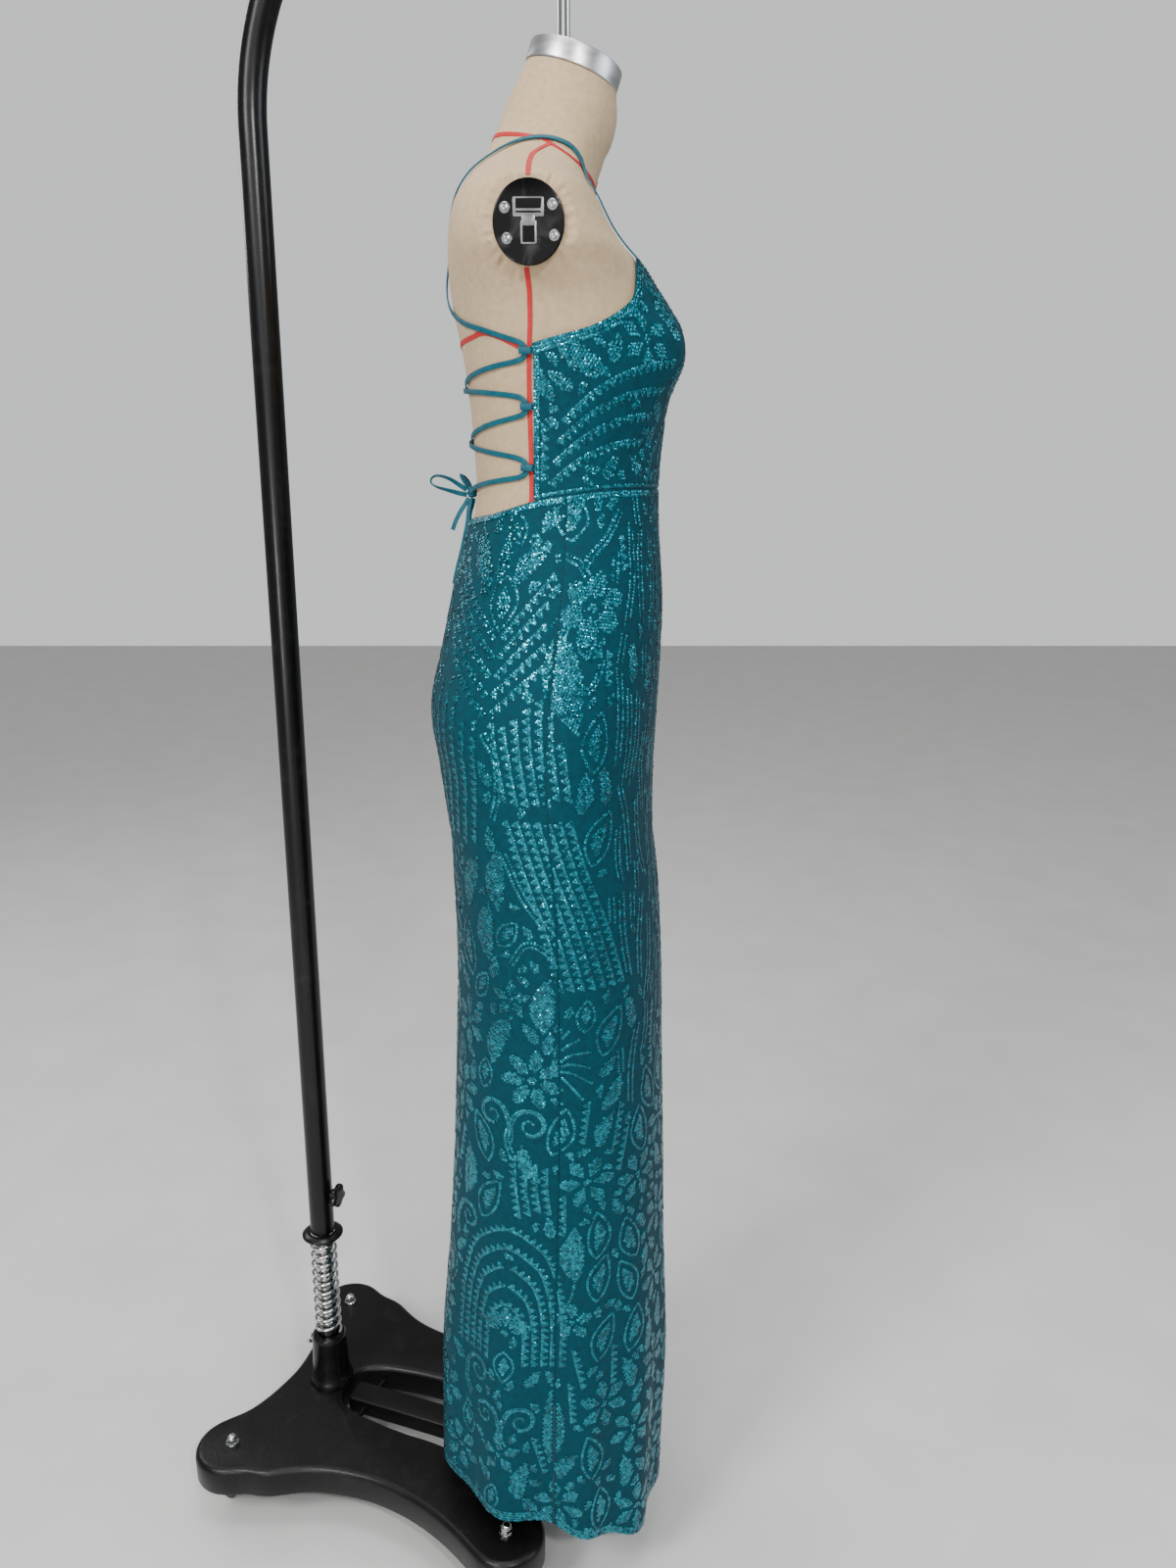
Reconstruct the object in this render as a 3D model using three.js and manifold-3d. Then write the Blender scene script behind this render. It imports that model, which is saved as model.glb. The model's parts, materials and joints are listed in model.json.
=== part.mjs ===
// Sequinned evening gown with a laced open back, worn by a limbless dress form
// that hangs by a rod from a gallows stand on four castors.
// Millimetres, +Z up. The gown's front faces -Y and the wearer's right is -X.
import * as THREE from 'three';
import { mergeVertices } from 'three/addons/utils/BufferGeometryUtils.js';
import Module from 'manifold-3d';

const wasm = await Module();
wasm.setup();

// Sizes of the gown
const CLOTH = 1.6; // wall of the sequinned stretch cloth
const EASE = 2.4; // air between the form and the cloth
const GAP = 0.3; // gap between pieces that touch
const SEAM_TURN = 0.09; // half the side seam's gap, in degrees round the body
const SIDE_SEAM = 88; // degrees from centre front to a side seam
const FOLD_START = 700; // height where the skirt's flare folds begin
const LACE = { width: 5, thick: 1.6, fine: 2 };
const TAB = { length: 13, depth: 5.4, wall: 1.1, height: 6, lift: 3.4, sides: 12 };
const TAB_MIDDLE = TAB.length / 2 + GAP + 0.1; // distance of a tab's middle behind the bodice edge

// Sizes of the form
const FORM_BOTTOM = 945;
const TORSO_COLUMNS = 32;
const TORSO_RINGS = [
  FORM_BOTTOM, 985, 1025, 1060, 1090, 1125, 1170, 1214, 1250, 1275, 1298, 1322, 1352, 1380, 1405,
  1428, 1450, 1472, 1490, 1506, 1522, 1540, 1556, 1568, 1580, 1591, 1602, 1613, 1632, 1681.5,
];
const ARM = { face: 163.5, y: 51, z: 1520, across: 62, high: 70, thick: 4 };
const BUST = { depth: 31, apart: 76, high: 1433, wide: 44, tall: 46 };
const CAP = { radius: 46, high: 19, tilt: 17.8, y: 16.5, z: 1682 };

// Sizes of the stand, in its own axes: fwd runs under the form, lat is across
const STAND = { x: 147.2, y: 415.8, turn: -110.05 };
const BASE = { bottom: 52, top: 90, bevel: 3, foot: 48 };
const FEET = [
  { fwd: 0, lat: -145, turn: 160 },
  { fwd: 0, lat: 145, turn: 200 },
  { fwd: 391, lat: -144, turn: 25 },
  { fwd: 391, lat: 144, turn: -40 },
];
const ACORN = [[0, 8.5], [1.5, 8.5], [1.5, 6.5], [6.5, 6.5], [9.5, 5], [11.4, 2.2]]; // washer and domed nut
const POST = { fwd: 59, radius: 16, bore: 13.6, bottom: 326.6, straight: 1675, bend: 280, sides: 12 };
const ARM_REACH = 359; // from the post's axis to the hanging rod's
const ARM_SPARE = 34; // arm beyond the rod
const INNER_TUBE = { radius: 12.7, bottom: 112, top: 620 };
const SOCKET = { foot: 30, rim: 8, shoulder: 28.6, neck: 23, top: 165, bore: 13.1 };
const SPRING = { radius: 16, wire: 2, turns: 10.5, stepsPerTurn: 9, bottom: 167.4, top: 317.9 };
const COLLAR = { radius: 27, topRadius: 21, bottom: 320.2, edge: 3, high: 6 };
const KNOB = { z: 384, stem: 4, stemLong: 5, radius: 14, lobes: 5, lobeDeep: 0.16, high: 12, crown: 3 };
const ROD = { radius: 6, bottom: 1687 };
const SET_BOLT = { z: 146, shank: 4, head: 7, shankLong: 3, headLong: 6, sunk: 2.2 };
const PEDAL = {
  from: 92, to: 300, half: 17, nose: 12, noseHalf: 8, bottom: 58, top: 82,
  pin: 120, pinZ: 70, pinRadius: 4, pinLong: 77.2,
};
const WHEEL = { high: 20, half: 8, bore: 3.2, trail: 15, segments: 18 };
const FORK = {
  cheek: 2.5, air: 0.8, axle: 2.7, axleOut: 0.5, plate: 15, top: 51.7, thick: 4, wide: 9, eye: 5, waist: 38,
};
const TREAD = { side: 0.92, flat: 0.75 }; // shares of the wheel's radius and half width at its corners

// Sections of the figure: height, front and back in profile, half width,
// depth of the widest point, squareness of the section, lean of its plane.
const FIGURE = [
  { z: 60, front: -78, back: 172, half: 134, wide: 45, round: 2.1, lean: 0 },
  { z: 160, front: -83, back: 175, half: 134, wide: 45, round: 2.1, lean: 0 },
  { z: 280, front: -89, back: 173, half: 133, wide: 43, round: 2.1, lean: 0 },
  { z: 424, front: -86, back: 162, half: 131, wide: 40, round: 2.15, lean: 0 },
  { z: 561, front: -84.5, back: 153.5, half: 134, wide: 36, round: 2.2, lean: 0 },
  { z: 687, front: -81.5, back: 148, half: 140, wide: 34, round: 2.2, lean: 0 },
  { z: 780, front: -79.5, back: 144, half: 147, wide: 34, round: 2.2, lean: 0 },
  { z: 881, front: -74, back: 145, half: 155, wide: 36, round: 2.2, lean: 0 },
  { z: 940, front: -67.5, back: 147.5, half: 160, wide: 40, round: 2.2, lean: 0 },
  { z: 1016, front: -67, back: 157, half: 164, wide: 44, round: 2.2, lean: 0 },
  { z: 1060, front: -69.5, back: 163.5, half: 164, wide: 44, round: 2.2, lean: 0 },
  { z: 1090, front: -71, back: 162.5, half: 161, wide: 42, round: 2.2, lean: 0 },
  { z: 1130, front: -73, back: 153, half: 153, wide: 37, round: 2.2, lean: 0 },
  { z: 1180, front: -74.5, back: 141, half: 143, wide: 31, round: 2.2, lean: 0 },
  { z: 1215, front: -73, back: 133, half: 134, wide: 27, round: 2.2, lean: 0 },
  { z: 1250, front: -70.5, back: 123.5, half: 124, wide: 25, round: 2.2, lean: 0 },
  { z: 1290, front: -69, back: 115.5, half: 116, wide: 24, round: 2.2, lean: 0 },
  { z: 1328, front: -70.5, back: 116, half: 117, wide: 25, round: 2.2, lean: 0 },
  { z: 1367, front: -74, back: 118.5, half: 122, wide: 27, round: 2.25, lean: 0 },
  { z: 1404, front: -75, back: 122, half: 129, wide: 30, round: 2.3, lean: 0 },
  { z: 1436, front: -71, back: 127, half: 135, wide: 35, round: 2.3, lean: 0 },
  { z: 1466, front: -65, back: 133, half: 143, wide: 42, round: 2.3, lean: 0 },
  { z: 1489, front: -57, back: 135.5, half: 157, wide: 48, round: 2.4, lean: 0 },
  { z: 1506, front: -47, back: 135.5, half: 170, wide: 51, round: 2.55, lean: 0 },
  { z: 1522, front: -33, back: 135, half: 174, wide: 51, round: 2.6, lean: 0 },
  { z: 1542, front: -21, back: 133, half: 173, wide: 51, round: 2.5, lean: 0 },
  { z: 1558, front: -14, back: 130, half: 166, wide: 51, round: 2.3, lean: 0 },
  { z: 1570, front: -9, back: 126.5, half: 149, wide: 51, round: 2.05, lean: 0 },
  { z: 1582, front: -7, back: 122, half: 124, wide: 51, round: 1.9, lean: 0 },
  { z: 1592, front: -9, back: 117, half: 101, wide: 51, round: 1.85, lean: 0 },
  { z: 1603, front: -13, back: 108, half: 80, wide: 48, round: 1.9, lean: 0 },
  { z: 1614, front: -17, back: 99, half: 67, wide: 42, round: 2, lean: 0 },
  { z: 1630, front: -23, back: 89, half: 58, wide: 34, round: 2, lean: 5 },
  { z: 1655, front: -28, back: 76, half: 51, wide: 24, round: 2, lean: 11 },
  { z: 1681.5, front: -27.5, back: 59.5, half: 45, wide: 16, round: 2, lean: 17.8 },
];
// Edges of the pieces, by degrees round the body: 0 is centre front, 90 the wearer's right
const WAIST = [
  { turn: 0, z: 1300 }, { turn: 60, z: 1298 }, { turn: 90, z: 1292 },
  { turn: 106, z: 1287 }, { turn: 135, z: 1274 }, { turn: 180, z: 1266 },
];
const BODICE_TOP = [
  { turn: 0, z: 1452 }, { turn: 12, z: 1465 }, { turn: 22, z: 1489 }, { turn: 28, z: 1502 },
  { turn: 32, z: 1503 }, { turn: 39, z: 1490 }, { turn: 50, z: 1465 }, { turn: 68, z: 1444 },
  { turn: 85, z: 1434 }, { turn: 100, z: 1427 },
];
const BODICE_EDGE = [
  { z: 1280, turn: 106.5 }, { z: 1317, turn: 106 }, { z: 1375, turn: 103.5 }, { z: 1430, turn: 100 },
];
const HEM = [
  { turn: -180, z: 148 }, { turn: -150, z: 143 }, { turn: -116, z: 131 }, { turn: -90, z: 120 },
  { turn: -62, z: 110 }, { turn: -40, z: 99 }, { turn: -20, z: 88 }, { turn: 0, z: 84 },
  { turn: 22, z: 82 }, { turn: 44, z: 76 }, { turn: 58, z: 92 }, { turn: 74, z: 106 },
  { turn: 95, z: 124 }, { turn: 116, z: 129 }, { turn: 150, z: 142 }, { turn: 180, z: 148 },
];
// Flare folds of the skirt: place, half width in degrees, how far the hem swings out
const FOLDS = [
  { turn: 12, width: 15, out: 9 }, { turn: 44, width: 14, out: 17 }, { turn: 73, width: 13, out: 15 },
  { turn: 114, width: 17, out: 16 }, { turn: 152, width: 16, out: 12 }, { turn: 186, width: 15, out: 9 },
  { turn: 217, width: 15, out: 14 }, { turn: 250, width: 16, out: 11 }, { turn: 284, width: 14, out: 15 },
  { turn: 314, width: 13, out: 10 }, { turn: 341, width: 12, out: 12 },
];
const FOLD_VALLEY = 7; // how far the cloth between two folds draws in at the hem

// Half of the base plate's edge from its rear notch round to the slot's root
const EDGE_REAR = [[2, 0], [-1, 32], [-9, 68], [-20, 94]];
const EDGE_SIDE = [
  [70, 173], [101, 155], [132, 143], [165, 137], [200, 134], [235, 137], [275, 145], [320, 161],
];
const EDGE_SLOT = [
  [341, 72], [318, 62], [285, 55], [245, 51], [200, 50], [152, 46], [112, 38], [95, 28], [87, 14], [85, 0],
];
const FOOT_ARC = { rear: [222, 48], front: [128, -118], steps: 9 };

// Route of the strap lace that starts on the left shoulder and runs to the right tabs first,
// as far as its first tab: degrees round the body, height and lift of its middle off the form
const STRAP_ROUTE = [
  { turn: -29.6, z: 1504.3, lift: 3.2 }, { turn: -28.6, z: 1517, lift: 2.4 }, { turn: -27.4, z: 1532, lift: 2 },
  { turn: -26.6, z: 1546, lift: 2 }, { turn: -27.5, z: 1560, lift: 2 }, { turn: -30.5, z: 1573, lift: 2 },
  { turn: -36, z: 1585, lift: 2 }, { turn: -45, z: 1596, lift: 2.1 }, { turn: -60, z: 1605, lift: 2.2 },
  { turn: -78, z: 1610, lift: 2.2 }, { turn: -95, z: 1611, lift: 2.2 }, { turn: -112, z: 1607, lift: 2.2 },
  { turn: -127, z: 1598, lift: 2.1 }, { turn: -146, z: 1585, lift: 2 }, { turn: -160, z: 1570, lift: 1.9 },
  { turn: -169, z: 1550, lift: 1.8 }, { turn: -175, z: 1529, lift: 1.8 }, { turn: -180, z: 1508, lift: 1.8 },
  { turn: -185.5, z: 1490, lift: 1.8 }, { turn: -193.6, z: 1474, lift: 1.8 }, { turn: -204, z: 1461, lift: 1.8 },
  { turn: -216.5, z: 1450, lift: 1.8 }, { turn: -231, z: 1441, lift: 2.1 },
];
const TABS = [1421, 1373, 1318];
// The lace's turn in a tab: distance behind the tab's middle, drop and lift, from the middle out
const TAB_TURN = [
  { away: 0.7, drop: 3.2, lift: 3.4 }, { away: 4, drop: 6.6, lift: 2.8 }, { away: 10.5, drop: 9, lift: 2.1 },
];
const BACK_RUN = { stops: 8, lift: 2, over: 3, overWidth: 18, start: 20, drop: 10 };
const BOW = {
  z: 1296, lift: 6, across: 10, deep: 9, high: 11, rise: 1.5, side: 2.95, liftIn: 5.4, stops: 5,
};

// Cords of the bow: points of their middle lines, chosen by hand
const BOW_ROUTES = {
  bow_loop_out: [
    [-2.3, 126.5, 1298.4], [-4.6, 134, 1303.4], [-6.4, 142, 1308.6], [-7.6, 151, 1312], [-8.4, 158, 1312.4],
    [-9, 162.2, 1309.6], [-9, 162.4, 1305], [-8.5, 157, 1301.4], [-7.5, 149, 1299], [-6, 141, 1296.8],
    [-4.4, 133.6, 1294.8], [-2.3, 126.3, 1293.4],
  ],
  bow_loop_side: [
    [3.3, 125.4, 1300.4], [7, 129.5, 1306.5], [12, 132.2, 1311], [18, 133.4, 1313.8], [24, 132, 1312.8],
    [27.6, 128.8, 1308], [26.4, 126, 1302], [21, 124.8, 1297], [14, 123.8, 1293.8], [9.6, 122.8, 1291.8],
    [6, 122.4, 1291.3],
  ],
  bow_end_short: [
    [0, 125, 1289.9], [0.2, 128, 1285], [0.8, 132.6, 1278.5], [1.2, 136.6, 1272], [1.5, 140, 1265],
    [1.8, 142.8, 1257.5],
  ],
  bow_tail_near: [
    [-1, 122.8, 1289.9], [-1.2, 123, 1287.4], [-2.8, 123.8, 1283], [-5, 124.8, 1277.5], [-7, 125.3, 1271],
    [-8, 126, 1264.5],
    [-8.4, 128.6, 1253], [-8.3, 131.4, 1241], [-7.8, 134.2, 1231], [-7.4, 137.1, 1221], [-7.6, 139.6, 1211],
    [-8.4, 141.6, 1202],
  ],
  bow_tail_far: [
    [1, 119.9, 1289.9], [1.2, 120.1, 1287.4], [3, 121.6, 1283], [5.6, 123.8, 1277], [7.4, 125.2, 1270.5],
    [8, 126.2, 1263.5],
    [7.8, 128.9, 1251], [7.2, 131.5, 1241], [7, 134.2, 1231], [7.6, 137.1, 1221], [8.4, 139.6, 1211],
    [9, 141.9, 1201], [9.2, 144.1, 1191], [8.8, 146.3, 1181], [8.4, 148.6, 1171], [8, 150.6, 1163],
  ],
};

// Colours and finishes
const FINISH = {
  gown: { color: 0x0f6a78, roughness: 0.55, metalness: 0.1 },
  lace: { color: 0x175c6b, roughness: 0.6, metalness: 0 },
  canvas: { color: 0xd2c3a8, roughness: 0.85, metalness: 0 },
  brushed: { color: 0xb9babd, roughness: 0.35, metalness: 0.9 },
  black: { color: 0x1a1918, roughness: 0.4, metalness: 0.3 },
  polished: { color: 0x2b2a2c, roughness: 0.15, metalness: 0.8 },
  chrome: { color: 0xc8c9cc, roughness: 0.15, metalness: 1 },
  tyre: { color: 0x202022, roughness: 0.8, metalness: 0 },
};

const degrees = Math.PI / 180;
const model = new THREE.Group();
const gown = new THREE.Group();
const form = new THREE.Group();
const stand = new THREE.Group();
stand.position.set(STAND.x, STAND.y, 0);
stand.rotation.z = STAND.turn * degrees;
model.add(gown, form, stand);

// Adds a named mesh to a group.
function addMesh(group, name, geometry, finish) {
  const mesh = new THREE.Mesh(geometry, new THREE.MeshStandardMaterial(FINISH[finish]));
  mesh.name = name;
  group.add(mesh);
  return mesh;
}

// Value of one column of a table between its rows, on a cubic through them.
function column(rows, key, name, at) {
  let i = 0;
  while (i < rows.length - 2 && at > rows[i + 1][key]) i += 1;
  const before = rows[Math.max(i - 1, 0)];
  const low = rows[i];
  const high = rows[i + 1];
  const after = rows[Math.min(i + 2, rows.length - 1)];
  const span = high[key] - low[key];
  const t = THREE.MathUtils.clamp((at - low[key]) / span, 0, 1);
  const slopeLow = (high[name] - before[name]) / (high[key] - before[key]) * span;
  const slopeHigh = (after[name] - low[name]) / (after[key] - low[key]) * span;
  const a = 2 * t ** 3 - 3 * t ** 2 + 1;
  const b = t ** 3 - 2 * t ** 2 + t;
  const c = 3 * t ** 2 - 2 * t ** 3;
  const d = t ** 3 - t ** 2;
  return a * low[name] + b * slopeLow + c * high[name] + d * slopeHigh;
}

// Point of the figure's surface at a turn in degrees and a height.
function figurePoint(turn, z) {
  const at = (name) => column(FIGURE, 'z', name, z);
  const face = Math.cos(turn * degrees);
  const side = Math.sin(turn * degrees);
  const round = at('round');
  const reach = (Math.abs(face) ** round + Math.abs(side) ** round) ** (-1 / round);
  const wide = at('wide');
  const depth = face > 0 ? wide - at('front') : at('back') - wide;
  const x = THREE.MathUtils.clamp(-at('half') * side * reach, -ARM.face, ARM.face);
  let y = wide - depth * face * reach;
  if (face > 0) {
    const across = (Math.abs(x) - BUST.apart) / BUST.wide;
    const up = (z - BUST.high) / BUST.tall;
    y -= BUST.depth * face ** 0.5 * Math.exp(-across * across - up * up);
  }
  const middle = (at('front') + at('back')) / 2;
  return new THREE.Vector3(x, y, z + (y - middle) * Math.tan(at('lean') * degrees));
}

// Outward normal of the figure's surface, from two small steps along it.
function figureNormal(turn, z) {
  const alongTurn = figurePoint(turn + 0.5, z).sub(figurePoint(turn - 0.5, z));
  const alongZ = figurePoint(turn, z + 1).sub(figurePoint(turn, z - 1));
  return alongZ.cross(alongTurn).normalize();
}

// Point at a distance off the figure.
function offFigure(turn, z, off) {
  return figurePoint(turn, z).addScaledVector(figureNormal(turn, z), off);
}

// How far the skirt's folds carry the cloth out at a turn and height.
function foldSwing(turn, z) {
  const fall = THREE.MathUtils.clamp((FOLD_START - z) / (FOLD_START - HEM[7].z), 0, 1);
  let swing = -FOLD_VALLEY;
  for (const fold of FOLDS) {
    const away = ((turn - fold.turn + 540) % 360 - 180) / fold.width;
    swing += (fold.out + FOLD_VALLEY) * Math.exp(-away * away);
  }
  return swing * fall ** 1.6;
}

// Point of the gown's cloth: layer 0 is its inside, 1 its outside.
function clothPoint(turn, z, layer) {
  return offFigure(turn, z, EASE + CLOTH * layer + foldSwing(turn, z));
}

function geometryFrom(points, faces) {
  const geometry = new THREE.BufferGeometry();
  const numbers = points.flatMap((p) => [p.x, p.y, p.z]);
  geometry.setAttribute('position', new THREE.Float32BufferAttribute(numbers, 3));
  geometry.setIndex(faces.flat());
  geometry.computeVertexNormals();
  return geometry;
}

// A cloth panel: an inner and an outer sheet of points joined round their four edges.
// place(u, v, layer) gives a point for u and v from 0 to 1.
function panel(across, up, place) {
  const points = [];
  const faces = [];
  const id = (layer, j, i) => (layer * (up + 1) + j) * (across + 1) + i;
  for (const layer of [0, 1]) {
    for (let j = 0; j <= up; j += 1) {
      for (let i = 0; i <= across; i += 1) points.push(place(i / across, j / up, layer));
    }
  }
  const quad = (a, b, c, d) => faces.push([a, b, c], [a, c, d]);
  for (let j = 0; j < up; j += 1) {
    for (let i = 0; i < across; i += 1) {
      quad(id(1, j, i), id(1, j + 1, i), id(1, j + 1, i + 1), id(1, j, i + 1));
      quad(id(0, j, i), id(0, j, i + 1), id(0, j + 1, i + 1), id(0, j + 1, i));
    }
  }
  for (let i = 0; i < across; i += 1) {
    quad(id(0, 0, i), id(1, 0, i), id(1, 0, i + 1), id(0, 0, i + 1));
    quad(id(0, up, i + 1), id(1, up, i + 1), id(1, up, i), id(0, up, i));
  }
  for (let j = 0; j < up; j += 1) {
    quad(id(0, j + 1, 0), id(1, j + 1, 0), id(1, j, 0), id(0, j, 0));
    quad(id(0, j, across), id(1, j, across), id(1, j + 1, across), id(0, j + 1, across));
  }
  return geometryFrom(points, faces);
}

// A closed solid through rings of equally many points, with a flat end on the first and last.
function loft(rings) {
  const count = rings[0].length;
  const points = rings.flat();
  const faces = [];
  for (let j = 0; j < rings.length - 1; j += 1) {
    for (let i = 0; i < count; i += 1) {
      const a = j * count + i;
      const b = j * count + (i + 1) % count;
      faces.push([a, b, b + count], [a, b + count, a + count]);
    }
  }
  const last = (rings.length - 1) * count;
  for (let i = 1; i < count - 1; i += 1) {
    faces.push([0, i + 1, i], [last, last + i, last + i + 1]);
  }
  return geometryFrom(points, faces);
}

// A ring of points round an axis, from radius as a number or a function of the angle.
function ring(count, radius, place) {
  return Array.from({ length: count }, (_, i) => {
    const angle = (i + 0.5) / count * Math.PI * 2;
    const r = typeof radius === 'function' ? radius(angle) : radius;
    return place(r * Math.cos(angle), r * Math.sin(angle));
  });
}

const upright = (z) => (x, y) => new THREE.Vector3(x, y, z);

// A round solid with its rings stacked along z: rows of height and radius.
function turned(count, rows) {
  return loft(rows.map(([z, radius]) => ring(count, radius, upright(z))));
}

// A flat lace through points, its flat side facing along the outward direction at each.
function ribbon(points, outward, fine) {
  const curve = new THREE.CatmullRomCurve3(points, false, 'centripetal');
  const steps = (points.length - 1) * fine;
  const corners = [[-0.5, 0.5], [0.5, 0.5], [0.5, -0.5], [-0.5, -0.5]];
  const rings = [];
  for (let i = 0; i <= steps; i += 1) {
    const middle = curve.getPoint(i / steps);
    const along = curve.getTangent(i / steps);
    const before = outward[Math.floor(i / fine)];
    const after = outward[Math.min(Math.floor(i / fine) + 1, points.length - 1)];
    const out = before.clone().lerp(after, i % fine / fine);
    const across = new THREE.Vector3().crossVectors(along, out).normalize();
    out.crossVectors(across, along).normalize();
    rings.push(corners.map(([w, t]) => middle.clone()
      .addScaledVector(across, w * LACE.width).addScaledVector(out, t * LACE.thick)));
  }
  return loft(rings);
}

// A closed mesh as a solid for joining and cutting, and back.
function solid(geometry) {
  const bare = geometry.index ? geometry.clone() : geometry;
  bare.deleteAttribute('normal');
  bare.deleteAttribute('uv');
  const merged = mergeVertices(bare, 1e-3);
  return new wasm.Manifold(new wasm.Mesh({
    numProp: 3,
    vertProperties: new Float32Array(merged.attributes.position.array),
    triVerts: new Uint32Array(merged.index.array),
  }));
}

function mesh(body) {
  const raw = body.getMesh();
  const geometry = new THREE.BufferGeometry();
  geometry.setAttribute('position', new THREE.BufferAttribute(new Float32Array(raw.vertProperties), 3));
  geometry.setIndex(new THREE.BufferAttribute(new Uint32Array(raw.triVerts), 1));
  geometry.computeVertexNormals();
  return geometry;
}

// Gown panels
function waistAt(turn) {
  return column(WAIST, 'turn', 'z', Math.abs(turn > 180 ? 360 - turn : turn));
}

function hemAt(turn) {
  return column(HEM, 'turn', 'z', turn > 180 ? turn - 360 : turn);
}

function skirtPanel(from, to) {
  return panel(22, 23, (u, v, layer) => {
    const turn = from + (to - from) * u;
    const hem = hemAt(turn);
    return clothPoint(turn, hem + (waistAt(turn) - GAP / 2 - hem) * v ** 0.94, layer);
  });
}

function bodicePanel() {
  return panel(34, 12, (u, v, layer) => {
    const share = 2 * u - 1;
    const top = column(BODICE_TOP, 'turn', 'z', Math.abs(share) * BODICE_TOP.at(-1).turn);
    const low = waistAt(share * BODICE_EDGE[0].turn) + GAP / 2;
    const z = low + (top - low) * v;
    return clothPoint(share * column(BODICE_EDGE, 'z', 'turn', z), z, layer);
  });
}

function buildGown() {
  const seam = SIDE_SEAM - SEAM_TURN;
  addMesh(gown, 'skirt_front', skirtPanel(-seam, seam), 'gown');
  addMesh(gown, 'skirt_back', skirtPanel(SIDE_SEAM + SEAM_TURN, 360 - SIDE_SEAM - SEAM_TURN), 'gown');
  addMesh(gown, 'bodice_front', bodicePanel(), 'gown');
  for (const side of [1, -1]) {
    const name = side > 0 ? 'right' : 'left';
    TABS.forEach((z, index) => addMesh(gown, `loop_tab_${name}_${index + 1}`, loopTab(side, z), 'lace'));
    addMesh(gown, `strap_lace_${side > 0 ? 'left' : 'right'}`, strapLace(side), 'lace');
  }
  addMesh(gown, 'bow_knot', bowKnot(), 'lace');
  for (const [name, route] of Object.entries(BOW_ROUTES)) {
    const points = route.map((p) => new THREE.Vector3(...p));
    addMesh(gown, name, ribbon(points, cordFaces(name, points), 1), 'lace');
  }
}

// Turn in degrees of a place behind a bodice edge, and the body's arc length there.
function behindEdge(z, distance) {
  const edge = column(BODICE_EDGE, 'z', 'turn', z);
  const arc = figurePoint(edge + 2, z).distanceTo(figurePoint(edge, z)) / 2;
  return edge + distance / arc;
}

// A folded tab: a flat tunnel with an upright hole for the lace.
function loopTab(side, z) {
  const turn = behindEdge(z, TAB_MIDDLE);
  const middle = offFigure(turn * side, z, TAB.lift);
  const out = figureNormal(turn * side, z);
  const up = new THREE.Vector3(0, 0, 1);
  up.addScaledVector(out, -up.dot(out)).normalize();
  const along = new THREE.Vector3().crossVectors(out, up).normalize();
  const outline = (half, deep) => Array.from({ length: TAB.sides }, (_, i) => {
    const angle = (i + 0.5) / TAB.sides * Math.PI * 2;
    const flat = half - deep;
    const across = deep * Math.cos(angle) + flat * Math.sign(Math.cos(angle));
    return new THREE.Vector2(across, deep * Math.sin(angle));
  });
  const shape = new THREE.Shape(outline(TAB.length / 2, TAB.depth / 2));
  shape.holes.push(new THREE.Path(outline(TAB.length / 2 - TAB.wall, TAB.depth / 2 - TAB.wall)));
  const geometry = new THREE.ExtrudeGeometry(shape, { depth: TAB.height, bevelEnabled: false });
  geometry.translate(0, 0, -TAB.height / 2);
  return geometry.applyMatrix4(new THREE.Matrix4().makeBasis(along, out, up).setPosition(middle));
}

// The lace's rows round one tab: in from above, down through the hole, out below.
function tabRows(side, z) {
  const row = (away, drop, lift) => ({ turn: side * behindEdge(z, TAB_MIDDLE + away), z: z + drop, lift });
  const above = TAB_TURN.map((r) => row(r.away, r.drop, r.lift)).reverse();
  const below = TAB_TURN.map((r) => row(r.away, -r.drop, r.lift));
  return [...above, row(0, 0, TAB.lift), ...below];
}

// The same turn, a whole number of circles away, that is nearest to another.
function unwrap(turn, near) {
  return turn + Math.round((near - turn) / 360) * 360;
}

// Extra lift where one lace passes over the other at centre back.
function crossing(turn) {
  const away = unwrap(turn, 180) - 180;
  return BACK_RUN.over * Math.exp(-((away / BACK_RUN.overWidth) ** 2));
}

// One strap lace: over a shoulder, across the back, then from tab to tab to the bow.
// side is that of its first and third tab, 1 for the wearer's right.
function strapLace(side) {
  const rows = STRAP_ROUTE.map((row) => ({ ...row, turn: side * row.turn }));
  if (side > 0) rows.forEach((row) => { row.lift += crossing(row.turn); });
  TABS.forEach((z, index) => {
    const here = index % 2 ? -side : side;
    for (const row of tabRows(here, z)) rows.push({ ...row, turn: unwrap(row.turn, rows.at(-1).turn) });
    const last = rows.at(-1);
    const next = TABS[index + 1];
    const turn = next ? -here * behindEdge(next, BACK_RUN.start) : here * (180 - BOW.side);
    const target = { turn: unwrap(turn, last.turn), z: next ? next + BACK_RUN.drop : BOW.z + BOW.rise };
    const stops = next ? BACK_RUN.stops : BOW.stops;
    const over = next && (side > 0) === (index % 2 === 1);
    for (let k = 1; k <= (next ? stops - 1 : stops); k += 1) {
      const share = k / stops;
      const at = last.turn + (target.turn - last.turn) * share;
      const extra = next ? 0 : (BOW.liftIn - BACK_RUN.lift) * share ** 3;
      const lift = BACK_RUN.lift + (over ? crossing(at) : 0) + extra;
      rows.push({ turn: at, z: last.z + (target.z - last.z) * share, lift });
    }
  });
  const points = rows.map((row) => offFigure(row.turn, row.z, row.lift));
  return ribbon(points, rows.map((row) => figureNormal(row.turn, row.z)), LACE.fine);
}

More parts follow.
